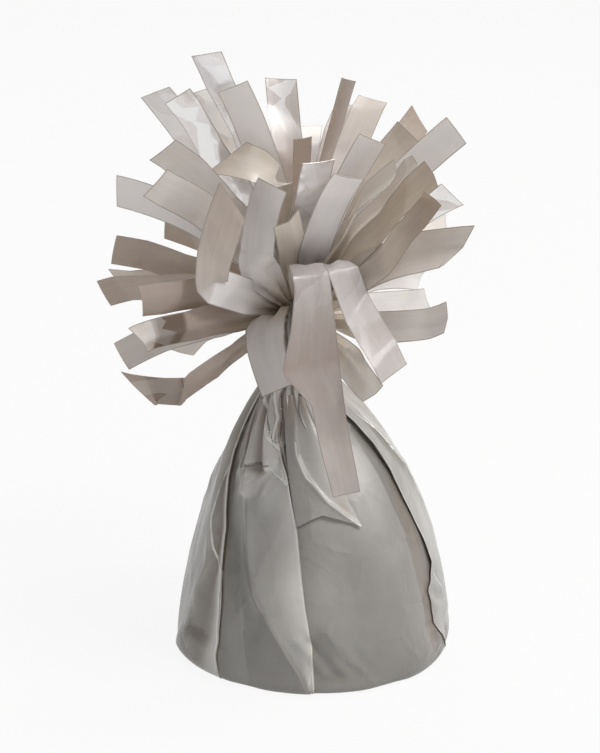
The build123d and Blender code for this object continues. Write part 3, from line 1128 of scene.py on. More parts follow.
LAP_DEPTH: Knots = ((0, 1.5), (20, 3.0), (40, 7.0), (52, 11.0), (58, 13.0))
LAP_LIFT: Knots = ((0, 0.2), (12, 0.5), (35, 0.9), (50, 1.0), (58, 0.5))
SIDE_LIFT: Knots = ((0, 0.1), (12, 0.2), (35, 0.3), (50, 0.7), (58, 0.5))
DIAGONAL = Ridge(
    ((0, 267), (3, 265), (10, 257), (16, 249), (20, 243), (34, 234), (45, 225), (58, 212)),
    ((0, 0.2), (8, 0.9), (20, 1.4), (34, 1.1), (45, 0.6), (58, 0.3)),
    ((0, 0.3), (20, 0.3), (34, 0.5), (45, 0.7)),
)

# Tones paint the wrap's light and shade, and the layers values paint its brown shade.
WRAP_FOLDS: tuple[Pleat | Ridge, ...] = (
    Pleat(((0, 20), (30, 23), (58, 28)), Hand.RIGHT, LAP_DEPTH, LAP_LIFT),
    Ridge(((0, 40), (58, 42)), ((0, 0.2), (25, 0.9), (58, 0.2)), ((0, 0.6),)),
    Pleat(((0, 62), (30, 60), (58, 58)), Hand.LEFT, LAP_DEPTH, LAP_LIFT),
    Pleat(((0, 98), (30, 95), (58, 90)), Hand.RIGHT, LAP_DEPTH, LAP_LIFT),
    Ridge(((0, 122), (20, 112), (58, 104)), ((0, 0.2), (25, 1.0), (58, 0.2)), ((0, 0.6),)),
    Pleat(((0, 136), (30, 131), (58, 122)), Hand.LEFT, LAP_DEPTH, LAP_LIFT),
    Pleat(((0, 170), (30, 162), (58, 148)), Hand.RIGHT, LAP_DEPTH, SIDE_LIFT, 0.0, 0.3, 0.2),
    Ridge(
        ((0, 190), (25, 186), (58, 160)), ((0, 0.3), (20, -0.4), (40, -0.2), (58, 0.1)),
        ((0, 0.05), (30, 0.2)),
    ),
    Ridge(
        ((0, 196), (12, 202), (22, 210), (32, 201.5), (40, 193), (50, 181), (58, 169)),
        ((0, 0.4), (12, 0.4), (22, 0.6), (32, 0.6), (42, 0.6), (58, 0.2)),
        ((0, 0.2), (30, 0.2), (58, 0.35)),
    ),
    Ridge(
        ((0, 200), (12, 206), (22, 214), (32, 205), (40, 196), (50, 184), (58, 172)),
        ((0, 0.5), (12, 0.5), (22, 1.0), (32, 1.3), (42, 1.1), (58, 0.3)),
        ((0, 0.3), (16, 0.45), (24, 0.8), (42, 0.8), (58, 0.5)),
    ),
    Ridge(
        ((0, 214), (12, 217), (22, 219.5), (32, 213), (40, 204), (50, 191), (58, 178)),
        ((0, 0.2), (12, -0.2), (22, -0.2), (32, -0.8), (42, -0.6), (58, 0.0)),
        ((0, 0.3), (22, 0.2), (40, 0.2), (58, 0.4)),
        ((0, 0.0), (12, 0.05), (24, 0.35), (38, 0.35), (58, 0.3)),
    ),
    Pleat(
        ((0, 229), (5, 227), (18, 225), (23, 223), (31, 220), (37, 213), (45, 203), (58, 192)), Hand.LEFT,
        ((0, 1.0), (20, 2.0), (35, 6.0), (58, 9.0)),
        ((0, 0.1), (10, 0.3), (25, 0.5), (40, 0.7), (58, 0.4)), -0.4, 0.75, 0.2,
    ),
    Ridge(
        ((0, 240), (10, 238), (25, 231), (40, 222), (58, 202)),
        ((0, 0.1), (10, -0.6), (25, -0.7), (40, 0.4), (58, 0.2)),
        ((0, 0.25), (25, 0.2), (36, 0.55), (44, 0.75), (58, 0.5)),
    ),
    Ridge(
        ((0, 244), (25, 232.5), (38, 225), (45, 218), (58, 204)),
        ((0, 0.0), (25, -0.7), (38, 0.3), (46, 1.0), (58, 0.7)),
        ((0, 0.27), (25, 0.25), (38, 0.65), (46, 0.95), (58, 0.8)),
    ),
    Ridge(
        ((0, 250), (25, 235), (38, 227), (45, 220), (58, 206.5)),
        ((0, 0.0), (25, -0.3), (38, 0.4), (46, -0.6), (58, -0.4)),
        ((0, 0.27), (25, 0.3), (38, 0.65), (46, 0.15), (58, 0.3)),
        ((0, 0.0), (41, 0.0), (47, 0.7), (58, 0.6)),
    ),
    Ridge(
        ((0, 256), (25, 238), (38, 229), (45, 222.5), (58, 209)),
        ((0, 0.0), (25, 0.6), (38, 0.8), (46, 1.2), (58, 0.7)),
        ((0, 0.27), (25, 0.4), (38, 0.65), (46, 0.85), (58, 0.8)),
    ),
    DIAGONAL,
    DIAGONAL.shifted(0.8, ((0, 0.4), (8, 0.5), (34, 0.6), (45, 0.7))),
    Ridge(
        ((0, 268.2), (10, 259.5), (20, 247), (34, 239), (45, 231.5), (58, 217)),
        ((0, 0.1), (20, 1.3), (34, 1.0), (46, -0.4), (58, -0.3)),
        ((0, 0.4), (20, 0.5), (34, 0.55), (44, 0.4), (58, 0.3)),
        ((0, 0.0), (41, 0.0), (47, 0.5), (58, 0.5)),
    ),
    Ridge(
        ((0, 268.8), (10, 263), (20, 254), (34, 246), (45, 238), (58, 222)),
        ((0, 0.1), (20, 0.6), (34, 0.5), (46, 1.1), (58, 0.6)),
        ((0, 0.4), (34, 0.55), (46, 0.95), (58, 0.85)),
    ),
    Pleat(
        ((0, 270), (10, 269), (18, 266), (35, 261), (43, 256), (48, 249), (58, 234)), Hand.LEFT,
        ((0, 0.8), (20, 1.5), (35, 4.0), (48, 8.0), (58, 9.0)),
        ((0, 0.15), (6, 0.3), (20, 0.4), (33, 0.5), (40, 1.3), (47, 2.0), (58, 0.8)), -0.5, 0.7, 0.4,
    ),
    Ridge(
        ((0, 294), (30, 285), (45, 276), (58, 258)),
        ((0, 0.3), (20, -0.5), (40, -0.6), (52, -0.3), (58, 0.1)),
        ((0, 0.15), (20, 0.25), (30, 0.3), (45, 0.65)),
    ),
    Ridge(
        ((0, 318), (30, 308), (45, 301), (58, 282)), ((0, 0.5), (20, 0.2), (40, 0.3), (58, 0.2)),
        ((0, 0.1), (20, 0.2), (30, 0.35), (45, 0.7)),
    ),
    Pleat(
        (
            (0, 344), (3, 340), (8, 333), (16, 332), (21, 339), (29, 335), (42, 331), (47, 328),
            (52, 320), (58, 308),
        ),
        Hand.RIGHT, ((0, 3.0), (20, 7.0), (40, 10.0), (58, 12.0)),
        (
            (0, 0.15), (6, 0.3), (16, 0.35), (21, 0.8), (30, 0.5), (40, 0.9), (47, 1.6), (52, 1.5),
            (58, 0.6),
        ),
        -0.3, 0.5, 0.15,
    ),
    Ridge(
        ((0, 358), (30, 350), (45, 345), (58, 330)), ((0, 0.3), (20, 0.2), (36, 0.3), (58, 0.3)),
        ((0, 0.5),),
    ),
    Ridge(
        ((0, 366), (30, 360), (45, 354), (58, 340)),
        ((0, 0.1), (20, 0.1), (38, 0.9), (48, 0.8), (58, 0.3)), ((0, 0.5),),
    ),
)


@dataclass(frozen=True)
class Mark:
    """A patch of the wrap pushed in or out: middle and half its size in degrees and mm, and what it adds.

    It adds to how far the film stands off in mm, to its tone and to how far it lies in layers.
    """

    turn: float
    height: float
    half_turn: float
    half_height: float
    proud: float
    tone: float = 0.0
    layered: float = 0.0

    def weight(self, turn: np.ndarray, height: np.ndarray) -> np.ndarray:
        """How much of the mark is felt at turns and heights, from 0 to 1."""
        off = np.hypot((turn - self.turn) / self.half_turn, (height - self.height) / self.half_height)
        return 1 - smooth(0.7, 1.15, off)


# Marks also paint light and shade, and brown shade, onto the wrap.
MARKS: tuple[Mark, ...] = (
    Mark(231, 43.5, 10, 0.9, -0.6, -0.6, 0.4),
    Mark(229, 40.4, 9, 2.4, 0.3, 0.3),
    Mark(329, 25.0, 5, 15, -0.2, -0.25, 0.28),
    Mark(330, 9.0, 4, 8, -0.2, -0.2, 0.3),
    Mark(346, 2.6, 5, 2.2, -0.3, -0.3, 0.2),
    Mark(186, 5.0, 7, 5.0, 0.0, -0.35, 0.3),
    Mark(187, 24, 22, 20, -0.7),
    Mark(214, 1.0, 24, 7.0, 1.0),
    Mark(327, 1.0, 20, 7.0, 0.8),
    Mark(270, 0.0, 26, 4.0, 0.5),
    Mark(213, 12.0, 10, 14, 0.0, -0.3, 0.2),
    Mark(206, 47.0, 5, 6, 0.0, 0.12, 0.25),
)


@dataclass(frozen=True)
class Crease:
    """A sharp crease of the wrap along (turn in degrees, height in mm) points, running down.

    The line is how wide a bright line on it is, below 0 for a dark one.  Left and right add to the tone
    beside it, fading over a number of mm.
    """

    path: Knots
    line: float = 0.5
    left: float = 0.0
    right: float = 0.0
    fade: float = 2.0

    def apart(self, turn: np.ndarray, height: np.ndarray, radius: np.ndarray) -> np.ndarray:
        """How far points are from the crease.

        Args:
            turn: Turns of the points, in degrees.
            height: Heights of the points, in mm.
            radius: Radius of the bell at the points, in mm.

        Returns:
            Distances in mm, below 0 on the crease's left.
        """
        nearest = np.full(np.broadcast_shapes(turn.shape, height.shape), np.inf)
        signed = nearest.copy()
        for (from_turn, from_height), (to_turn, to_height) in zip(self.path, self.path[1:]):
            across, down = np.radians(turn - from_turn) * radius, height - from_height
            run, drop = np.radians(to_turn - from_turn) * radius, to_height - from_height
            share = np.clip((across * run + down * drop) / (run * run + drop * drop), 0.0, 1.0)
            gap = np.hypot(across - share * run, down - share * drop)
            side = np.where(run * down - drop * across < 0, -gap, gap)
            signed = np.where(gap < nearest, side, signed)
            nearest = np.minimum(gap, nearest)
        return signed


# Creases paint highlight and shadow lines, and light and shade beside them.
CREASES: tuple[Crease, ...] = (
    Crease(((198, 49), (203, 37), (207, 31), (214, 26), (223, 22)), 1.0, -0.15, -0.35, 3.0),
    Crease(
        ((203, 45), (213, 37), (220, 31), (223, 23), (225, 14), (227, 5), (229, 1)),
        -0.6, 0.25, -0.25, 2.0,
    ),
    Crease(((223, 22), (224, 12), (227, 2)), 0.6, 0.0, 0.0, 1.0),
    Crease(((257, 39), (243, 23)), 0.0, -0.04, 0.05, 6.0),
    Crease(((248, 49), (256, 43), (261, 35), (266, 18), (269, 10), (270, 1)), 0.7, 0.1, -0.2, 2.5),
    Crease(((243, 23), (251, 16), (259, 10), (270, 1)), 0.0, -0.12, 0.0, 5.0),
    Crease(((247, 16), (248, 14), (245, 11)), 0.0, -0.2, -0.2, 1.4),
    Crease(((272, 12), (276, 10), (277, 8)), 0.0, -0.25, -0.25, 1.8),
    Crease(((271, 5), (274, 3.6), (280, 4)), 0.0, -0.2, -0.2, 1.6),
    Crease(((336, 3), (330, 2)), 0.25, -0.2, -0.2, 1.5),
    Crease(((343, 51), (357, 41), (360, 32)), 0.4, -0.25, 0.1, 2.0),
    Crease(((334, 53), (349, 47), (358, 36)), 0.4, -0.2, 0.1, 2.0),
    Crease(((319, 44), (324, 33), (325, 19), (330, 5)), 0.0, 0.05, -0.2, 5.0),
    Crease(((340, 18), (348, 12), (346, 6)), 0.5, -0.2, -0.25, 2.0),
    Crease(((221, 43.3), (232, 44), (241, 44.8)), -1.0, 0.35, -0.15, 1.6),
    Crease(((222, 43), (227, 40.6), (241, 44)), 0.2, -0.05, 0.3, 2.2),
    Crease(((243, 44.5), (249, 43.5), (255, 42)), 0.45, -0.15, 0.1, 1.2),
    Crease(((214, 56), (236, 50), (249, 48)), 0.8, -0.15, 0.1, 1.2),
    Crease(((222, 57), (238, 51), (243, 49)), -0.7, 0.1, -0.2, 1.0),
    Crease(((230, 57), (241, 53), (242, 50)), 0.7, -0.2, 0.1, 0.9),
    Crease(((236, 57), (244, 53), (246, 50)), -0.8, 0.1, -0.1, 0.9),
    Crease(((240, 57), (246, 53)), 0.6, 0.0, 0.0, 0.8),
    Crease(((268, 57), (263, 53), (254, 51), (251, 48)), -0.9, 0.4, -0.5, 2.5),
    Crease(((209, 55), (216, 49), (221, 43)), 0.5, -0.3, 0.1, 2.0),
    Crease(((201, 54), (205, 47)), -0.5, 0.1, -0.1, 1.2),
    Crease(((199, 8), (211, 2)), 0.5, -0.5, 0.1, 2.0),
    Crease(((228, 26), (237, 16), (241, 5)), 0.0, 0.05, -0.1, 6.0),
    Crease(((231, 36), (236, 30), (241, 24)), 0.0, -0.16, -0.16, 3.5),
    Crease(((212, 20), (206, 12), (208, 3)), 0.0, -0.15, 0.15, 4.0),
    Crease(((186, 34), (190, 18), (196, 4)), 0.0, -0.2, 0.1, 4.0),
    Crease(((20, 48), (24, 30), (20, 6)), 0.5, -0.2, 0.1),
    Crease(((58, 50), (60, 30), (57, 8)), 0.5, 0.15, -0.2),
    Crease(((46, 36), (38, 22), (40, 12)), 0.0, -0.15, 0.1, 4.0),
    Crease(((96, 50), (94, 22), (98, 4)), 0.5, -0.2, 0.1),
    Crease(((80, 24), (76, 21), (79, 17)), 0.25, -0.3, 0.2, 1.0),
    Crease(((110, 9), (114, 7), (112, 4)), 0.25, -0.3, 0.2, 1.0),
    Crease(((131, 48), (130, 28), (137, 5)), 0.5, 0.15, -0.2),
    Crease(((150, 34), (154, 28), (152, 22)), 0.2, -0.25, 0.2, 1.4),
)


@dataclass(frozen=True)
class Pucker:
    """A small crumpled spot of the wrap: turn in degrees, then height, size and depth in mm."""

    turn: float
    height: float
    size: float
    depth: float


PUCKERS: tuple[Pucker, ...] = (
    Pucker(270, 10.0, 4.0, 0.45),
    Pucker(282, 3.5, 5.0, 0.5),
    Pucker(341, 14.0, 4.0, 0.5),
    Pucker(348, 6.0, 4.0, 0.35),
    Pucker(328, 5.0, 4.0, 0.4),
    Pucker(243, 16.0, 4.0, 0.3),
    Pucker(228, 43.0, 4.0, 0.6),
    Pucker(236, 43.5, 4.0, 0.5),
    Pucker(110, 9.0, 6.0, 0.5),
    Pucker(75, 24.0, 6.0, 0.5),
    Pucker(30, 12.0, 6.0, 0.5),
    Pucker(150, 32.0, 6.0, 0.4),
)


@dataclass(frozen=True)
class Crinkle:
    """Straight creases all over the film: the way they run across, their spacing and depth in mm."""

    direction: tuple[float, float, float]
    spacing: float
    depth: float


CRINKLES: tuple[Crinkle, ...] = (
    Crinkle((0.9, 0.2, 0.4), 11.0, 0.16),
    Crinkle((0.3, -0.8, 0.5), 8.0, 0.12),
    Crinkle((-0.5, 0.4, 0.8), 14.0, 0.2),
    Crinkle((0.7, 0.6, -0.3), 6.0, 0.08),
)


@dataclass(frozen=True)
class Tongue:
    """A loose lap of film that hangs from the neck over the front panel.

    Across it a share runs from 0 at its left edge to 1 at its right edge, and knots are (share, value).
    The stain is where the film under it shows brown, as shares across and down.
    """

    top: float = 57.0
    top_turn: Knots = ((0, 248), (1, 276))
    hem_turn: Knots = ((0, 262), (0.33, 272), (0.65, 283), (1, 297))
    hem: Knots = ((0, 34.2), (0.3, 35.8), (0.45, 36.4), (0.7, 35.4), (1, 33.6))
    ridge: Knots = ((0, 0.5), (0.3, 0.3), (0.45, 0.26), (0.65, 0.36), (0.85, 0.62), (1, 0.97))
    ridge_reach: float = 0.09
    ridge_height: float = 0.4
    lift: float = 0.4
    ripple: float = 0.3
    strip_end_shadow: Pair = (0.86, 0.84)
    strip_end_shadow_reach: Pair = (0.08, 0.09)
    breadth: float = 15.0
    columns: int = 40
    rows: int = 36


@dataclass(frozen=True)
class WrappedBell:
    """The wrap from its flat foot up through the tied neck into the knot, as one gathered sheet.

    Sizes are in mm, scales in lumps per metre and the flat size in metres.
    """

    base_radius: float = 28.8
    foot_round: float = 1.4
    foot_tuck: float = 0.6
    foot_dish: float = 0.25
    foot_folds: float = 0.7
    foot_shares: tuple[float, ...] = (0.03, 0.35, 0.6, 0.8, 0.93, 1.0)
    body_height: float = 58.0
    neck_radius: float = 6.0
    neck_lean: float = -3.0
    neck_rows: int = 24
    neck_folds: float = 0.8
    lean_power: float = 4.0
    fullness: float = 1.9
    shoulder: float = 0.85
    waist_height: float = 61.6
    waist_radius: float = 4.4
    knot_height: float = 72.0
    knot_radius: float = 6.0
    flutes: int = 38
    flute_depth: float = 0.85
    gathered: Pair = (40.0, 55.0)
    released: Pair = (75.5, 77.0)
    crinkled: Pair = (1.5, 5.0)
    warp_scale: float = 90.0
    patch_scale: float = 55.0
    pucker_spacing: float = 3.1
    film: float = 0.1
    far: float = 9.0
    bell_rows: tuple[int, int] = (44, 52)
    gather_height: float = 36.0
    column_degrees: float = 1.4
    flat: Pair = (0.181, 0.104)
    tongue: Tongue = Tongue()

    def bell_radius(self, height: np.ndarray) -> np.ndarray:
        """Radius of the bell between its folds.

        Args:
            height: Heights, in mm.

        Returns:
            Radii, in mm.
        """
        share = np.clip(height / self.body_height, 0.0, 1.0)
        swell = (1 - share**self.fullness) ** self.shoulder
        return self.neck_radius + (self.base_radius - self.neck_radius) * swell

    def at(self, turn: np.ndarray, reach: np.ndarray, height: np.ndarray) -> np.ndarray:
        """Points round the bell's middle, which leans.

        Args:
            turn: Turns, in degrees.
            reach: Distances off the middle, in mm.
            height: Heights, in mm.

        Returns:
            The points, in metres.
        """
        angle = np.radians(turn)
        reach = np.maximum(reach, 0.02)
        middle = self.neck_lean * np.clip(height / self.body_height, 0.0, 1.0) ** self.lean_power
        return np.stack([middle + reach * np.cos(angle), reach * np.sin(angle), height], -1) * MM

    def profile(self) -> tuple[np.ndarray, ...]:
        """Rows of the wrap from the middle of the foot to the top of the knot.

        Returns:
            Radius, height and the share of the folds' full size, for each row.
        """
        rows: list[tuple[float, float, float]] = []
        foot_edge = self.base_radius - self.foot_tuck
        for share in self.foot_shares:
            height = self.film + self.foot_dish * (1 - share)
            rows.append((foot_edge * share, height, self.foot_folds * share))
        for step in (0.33, 0.66):
            angle = step * math.pi / 2
            radius = foot_edge + self.foot_tuck * math.sin(angle)
            height = self.film + (self.foot_round - self.film) * (1 - math.cos(angle))
            rows.append((radius, height, self.foot_folds + 0.2 * step))
        below, above = self.bell_rows
        plain = np.linspace(self.foot_round, self.gather_height, below, endpoint=False)
        for height in (*plain, *np.linspace(self.gather_height, self.body_height, above)):
            rows.append((float(self.bell_radius(height)), float(height), 1.0))
        neck: Knots = (
            (self.body_height, self.neck_radius),
            (self.waist_height - 1.2, self.waist_radius + 0.2),
            (self.waist_height, self.waist_radius),
            (self.waist_height + 1.4, self.waist_radius + 0.3),
            (self.knot_height - 4.5, self.knot_radius - 0.8),
            (self.knot_height - 1.0, self.knot_radius),
            (self.knot_height + 2.5, self.knot_radius - 0.9),
            (self.knot_height + 4.5, 3.2),
            (self.knot_height + 5.3, 0.4),
        )
        rise = neck[-1][0] - self.body_height
        for step in range(1, self.neck_rows + 1):
            height = self.body_height + rise * step / self.neck_rows
            rows.append((float(along_knots(neck, height)), height, self.neck_folds))
        return tuple(np.array(column) for column in zip(*rows))

    def columns(self, height: np.ndarray) -> np.ndarray:
        """Columns of the sheet, through all its fold lines in the order that the film runs.

        Args:
            height: Heights of the rows, in mm.

        Returns:
            Turn in degrees, stand-off in mm, tone and layers, each as rows by columns.
        """
        level = np.clip(height, 0.0, self.body_height)
        lines = []
        for line in (ridge for fold in WRAP_FOLDS for ridge in fold.ridges()):
            knots = (line.turns, line.proud, line.tone, line.layered)
            lines.append(np.stack([along_knots(given, level) for given in knots]))
        lines.append(lines[0] + np.array([FULL_TURN, 0.0, 0.0, 0.0])[:, None])
        spread = []
        for start, end in zip(lines, lines[1:]):
            span = float(np.abs(end[0] - start[0]).mean())
            count = max(2, round(span / self.column_degrees))
            spread += [start + (end - start) * step / count for step in range(count)]
        return np.stack(spread, -1)

    def sheet_points(self) -> tuple[np.ndarray, Looks]:
        """Points of the sheet, rows by columns.

        Returns:
            Points in metres, and numbers by name for how the film looks at each.
        """
        radius, height, share = self.profile()
        turn, proud, tone, layered = self.columns(height)
        place = np.arange(turn.shape[1]) / turn.shape[1]
        rows = height[:, None]
        phase = place * self.flutes + 0.35 * np.sin(2 * np.pi * 5 * place)
        size = self.flute_depth * (0.55 + 0.45 * np.sin(2 * np.pi * (3 * place + 0.13)))
        gathered = smooth(*self.gathered, rows) * (1 - smooth(*self.released, rows))
        flute = triangle(phase)[None, :] * size[None, :] * gathered
        for mark in MARKS:
            felt = mark.weight(turn, rows)
            proud = proud + felt * mark.proud
            tone = tone + felt * mark.tone
            layered = np.maximum(layered, felt * mark.layered)
        reach = radius[:, None] + proud * share[:, None] + flute
        level = rows + 0 * turn
        looks = self.creased(turn, level, tone)
        # Painted brown shade in the hollows of the flutes
        looks["layered"] = np.maximum(layered, np.clip(-1.1 * flute, 0.0, 0.8))
        return self.at(turn, reach, level), looks

    def creased(self, turn: np.ndarray, height: np.ndarray, tone: np.ndarray) -> Looks:
        """Shades the film beside its creases.

        Args:
            turn: Turns of the points, in degrees.
            height: Heights of the points, in mm.
            tone: The film's tone before it is creased.

        Returns:
            The tone, and for the nearest bright and dark line each point's gap in mm, and its side in
            widths of the line, below 0 on the line's left.
        """
        radius = self.bell_radius(height)
        names = ("bright_side", "bright_gap", "dark_side", "dark_gap")
        looks = {name: np.full(turn.shape, self.far) for name in names}
        for crease in CREASES:
            apart = crease.apart(turn, height, radius)
            gap = np.abs(apart)
            tone = tone + np.exp(-gap / crease.fade) * np.where(apart < 0, crease.left, crease.right)
            if crease.line:
                name = "bright" if crease.line > 0 else "dark"
                nearer = gap < looks[f"{name}_gap"]
                looks[f"{name}_side"] = np.where(nearer, apart / abs(crease.line), looks[f"{name}_side"])
                looks[f"{name}_gap"] = np.where(nearer, gap, looks[f"{name}_gap"])
        looks["tone"] = tone
        return looks

    def tongue_points(self) -> tuple[np.ndarray, Looks]:
        """Points of the loose lap, rows by columns.

        Returns:
            Points in metres, and numbers by name for how the film looks at each.
        """
        lap = self.tongue
        across, down = np.meshgrid(np.linspace(0, 1, lap.columns), np.linspace(0, 1, lap.rows))
        turn = along_knots(lap.top_turn, across) * (1 - down) + along_knots(lap.hem_turn, across) * down
        height = lap.top * (1 - down) + along_knots(lap.hem, across) * down
        off_ridge = across - along_knots(lap.ridge, down)
        crest = np.clip(1 - np.abs(off_ridge) / lap.ridge_reach, 0.0, 1.0)
        proud = lap.lift * smooth(0.0, 0.25, down) + lap.ridge_height * crest * smooth(0.1, 0.4, down)
        proud = proud + lap.ripple * np.sin(across * 9.0 + down * 2.0) * (1 - down)
        breadth = lap.breadth * (0.5 + 0.5 * down)
        off_strip_end_shadow = [(at - mid) / far for at, mid, far in zip((across, down), lap.strip_end_shadow, lap.strip_end_shadow_reach)]
        strip_end_shadow = np.exp(-(off_strip_end_shadow[0] ** 2) - off_strip_end_shadow[1] ** 2)
        nowhere = np.full(turn.shape, self.far)
        # The tone paints the lap lighter on and right of its ridge, with a painted highlight line along the
        # ridge; painted brown shade lies near the neck and under the hanging strip's end.
        looks = {
            "tone": 0.35 + 0.25 * smooth(-0.05, 0.06, off_ridge) + 0.15 * crest,
            "layered": 0.6 * (1 - smooth(0.0, 0.3, down)) + 0.45 * strip_end_shadow,
            "bright_side": off_ridge * breadth,
            "bright_gap": np.abs(off_ridge) * breadth + self.far * (1 - smooth(0.28, 0.36, down)),
            "dark_side": nowhere,
            "dark_gap": nowhere,
        }
        return self.at(turn, self.bell_radius(height) + proud, height), looks

    def crinkle(self, points: np.ndarray) -> np.ndarray:
        """Small straight creases of handled film, as a height off the sheet in metres.

        Args:
            points: Points of the sheet, rows by columns.

        Returns:
            The height for each point.
        """
        def lumps(scale: float, start: Vector) -> np.ndarray:
            """Soft noise at each point, from -1 to 1."""
            values = [noise.noise(Vector(point) * scale + start) for point in points.reshape(-1, 3)]
            return np.array(values).reshape(points.shape[:2])

        warp = lumps(self.warp_scale, Vector((0.0, 0.0, 0.0)))
        total = np.zeros(points.shape[:2])
        for crinkle in CRINKLES:
            unit = np.array(crinkle.direction) / np.linalg.norm(crinkle.direction)
            total += triangle(points @ unit / (crinkle.spacing * MM) + 0.35 * warp) * crinkle.depth * MM
        total *= smooth(-0.25, 0.35, lumps(self.patch_scale, Vector((4.2, 1.7, 9.3))))
        for index, spot in enumerate(PUCKERS):
            height = np.array(spot.height)
            off = points - self.at(np.array(spot.turn), self.bell_radius(height), height)
            near = np.exp(-((np.linalg.norm(off, axis=-1) / (spot.size * MM)) ** 2))
            way = heading(spot.turn + 60.0 + 37.0 * index, 40.0)
            total += spot.depth * MM * near * triangle(off @ way / (self.pucker_spacing * MM) + warp)
        return total

    def build(self, material: bpy.types.Material) -> bpy.types.Object:
        """Makes the wrap's mesh.

        Args:
            material: Finish of the wrap.

        Returns:
            The wrap's object.
        """
        points, looks = self.sheet_points()
        rows, columns = points.shape[:2]
        outward = points - points.mean(axis=1, keepdims=True)
        outward[..., 2] = 0
        outward /= np.maximum(np.linalg.norm(outward, axis=-1, keepdims=True), 1e-9)
        above_foot = smooth(*self.crinkled, points[..., 2] / MM)
        points = points + outward * (self.crinkle(points) * above_foot)[..., None]
        grid = np.arange(rows * columns).reshape(rows, columns)
        beside = np.roll(grid, -1, axis=1)
        faces = np.stack([grid[:-1], beside[:-1], beside[1:], grid[1:]], -1).reshape(-1, 4).tolist()
        faces += [grid[0, ::-1].tolist(), grid[-1].tolist()]
        lap, lap_looks = self.tongue_points()
        patch = np.arange(lap.shape[0] * lap.shape[1]).reshape(lap.shape[:2]) + rows * columns
        corners = [patch[:-1, :-1], patch[1:, :-1], patch[1:, 1:], patch[:-1, 1:]]
        faces += np.stack(corners, -1).reshape(-1, 4).tolist()
        mesh = bpy.data.meshes.new("film_wrap_sheet")
        mesh.from_pydata(np.concatenate([points.reshape(-1, 3), lap.reshape(-1, 3)]).tolist(), [], faces)
        for name, values in looks.items():
            stored = mesh.attributes.new(name, "FLOAT", "POINT")
            both = np.concatenate([values.ravel(), lap_looks[name].ravel()])
            stored.data.foreach_set("value", both.astype(np.float32))
        mesh.polygons.foreach_set("use_smooth", [True] * len(mesh.polygons))
        return filmed(added("film_wrap_sheet", mesh), "pearl_wrap", material, self.film * MM, -1.0)

    def dress(self, piece: bpy.types.Object, fringe: Sequence[bpy.types.Object]) -> None:
        """Puts the wrap on the weight in place of its plain solids and declares it a sheet.

        Args:
            piece: The wrap's object.
            fringe: The tufts' objects, which are cut from the same sheet.
        """
        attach(piece, ROOT_BODY)
        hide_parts("film_wrap", "gathered_neck")


# Studio

@dataclass(frozen=True)
class Lamp:
    """A soft square lamp: where it hangs, what it looks at, its side in metres and its power in watts."""

    name: str
    place: tuple[float, float, float]
    aim: tuple[float, float, float]
    side: float
    power: float
    colour: Colour = (1.0, 1.0, 1.0)

    def light(self) -> None:
        """Hangs the lamp."""
        data = bpy.data.lights.new(self.name, "AREA")
        data.shape = "SQUARE"
        data.size = self.side
        data.energy = self.power
        data.color = self.colour
        made = added(self.name, data)
        made.location = self.place
        made.rotation_euler = (Vector(self.aim) - Vector(self.place)).to_track_quat("-Z", "Y").to_euler()


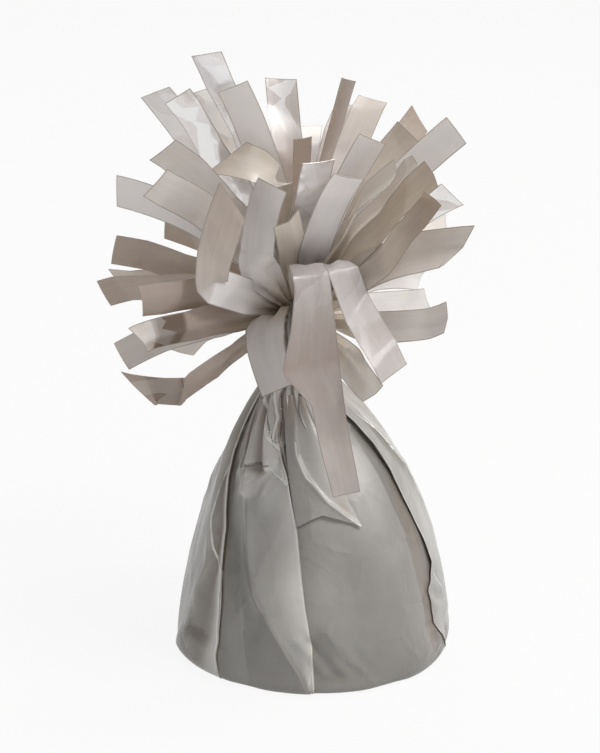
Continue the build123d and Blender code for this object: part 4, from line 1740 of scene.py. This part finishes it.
@dataclass(frozen=True)
class Studio:
    """Floor, lamps, surrounding light and camera, in metres and degrees."""

    floor_side: float = 6.0
    camera_place: tuple[float, float, float] = (-2.8 * MM, -470 * MM, 236 * MM)
    camera_pitch: float = 20.7
    camera_clip: Pair = (0.01, 20.0)
    focal_pixels: float = 2440.0
    picture_height: float = 753.0
    sensor: float = 36.0
    surround: float = 0.42
    bright_side: tuple[float, float, float] = (0.55, -0.25, 0.8)
    shades: tuple[tuple[float, Colour], ...] = (
        (0.0, (0.20, 0.185, 0.175)),
        (0.5, (0.50, 0.48, 0.46)),
        (1.0, (1.0, 1.0, 1.0)),
    )
    lamps: tuple[Lamp, ...] = (
        Lamp("key", (0.50, -0.26, 0.78), (0.0, 0.0, 0.06), 0.30, 5.0, (1.0, 0.985, 0.96)),
        Lamp("fill", (-0.75, -0.5, 0.35), (0.0, 0.0, 0.06), 0.5, 1.0, (0.97, 0.98, 1.0)),
        Lamp("back", (-0.15, 0.6, 0.65), (0.0, 0.0, 0.08), 0.3, 1.2),
        Lamp("top", (0.24, 0.16, 0.72), (0.0, 0.0, 0.09), 0.26, 2.2),
    )

    def build(self) -> None:
        """Sets up the whole studio."""
        self._floor()
        self._world()
        for lamp in self.lamps:
            lamp.light()
        self._camera()
        bpy.context.scene.view_settings.view_transform = "Standard"

    def _floor(self) -> None:
        """Lays the paper that the weight stands on."""
        half = self.floor_side / 2
        mesh = bpy.data.meshes.new("studio_floor")
        corners = [(-half, -half, 0.0), (half, -half, 0.0), (half, half, 0.0), (-half, half, 0.0)]
        mesh.from_pydata(corners, [], [(0, 1, 2, 3)])
        mesh.materials.append(StudioFloor("studio_paper").material())
        added("studio_floor", mesh)

    def _world(self) -> None:
        """Even light from all round, darker from below, that the camera sees as plain white."""
        world = bpy.data.worlds.new("studio")
        bpy.context.scene.world = world
        world.use_nodes = True
        world.node_tree.nodes.clear()
        graph = Graph(world.node_tree)
        ways = {0: graph.wire("ShaderNodeTexCoord", None, "Generated"), 1: self.bright_side}
        toward = graph.wire("ShaderNodeVectorMath", ways, "Value", operation="DOT_PRODUCT")
        shade = graph.wire("ShaderNodeValToRGB", {0: toward * 0.5 + 0.5}, stops=self.shades)
        soft = graph.wire("ShaderNodeBackground", {"Color": shade, "Strength": self.surround})
        white = graph.wire("ShaderNodeBackground", {"Color": WHITE, "Strength": 1.0})
        seen = graph.wire("ShaderNodeLightPath", None, "Is Camera Ray")
        both = graph.wire("ShaderNodeMixShader", {0: seen, 1: soft, 2: white})
        graph.node("ShaderNodeOutputWorld", {"Surface": both})

    def _camera(self) -> None:
        """Sets the camera where the photograph was taken from."""
        data = bpy.data.cameras.new("camera")
        data.sensor_width = self.sensor
        data.lens = self.focal_pixels / self.picture_height * self.sensor
        data.clip_start, data.clip_end = self.camera_clip
        made = added("camera", data)
        made.location = self.camera_place
        made.rotation_euler = Euler((math.radians(QUARTER_TURN - self.camera_pitch), 0.0, 0.0))
        bpy.context.scene.camera = made


# Whole object

def repaint(node: str, material: bpy.types.Material) -> None:
    """Gives a carried-over solid a better finish.

    Args:
        node: The solid's name.
        material: Its new finish.
    """
    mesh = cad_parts[node].data
    mesh.materials.clear()
    mesh.materials.append(material)


def main() -> None:
    """Builds the pieces in order and reports each."""
    logging.basicConfig(level=logging.INFO, format="%(name)s: %(message)s")
    Studio().build()
    cut = FilmCut()
    tree = StripTree()
    film = FringeFilm("fringe_film").material()
    fringe = []
    for index, (name, strips) in enumerate(FRINGE.items()):
        tuft = Tuft(name, strips, SEED_STEP * index, cut)
        piece = tuft.build(tree, film)
        tuft.dress(piece)
        fringe.append(piece)
        LOG.info("%s: %d strips, %d faces", piece.name, len(strips), len(piece.data.polygons))
    bell = WrappedBell()
    wrap = bell.build(WrapFilm("wrap_film").material())
    bell.dress(wrap, fringe)
    LOG.info("%s: %d faces", wrap.name, len(wrap.data.polygons))
    repaint("weight_core", CastPlaster("cast_plaster").material())
    repaint("twist_tie", TieCoat("tie_coat").material())
    LOG.info("core and tie repainted")


if __name__ == "__main__":
    main()
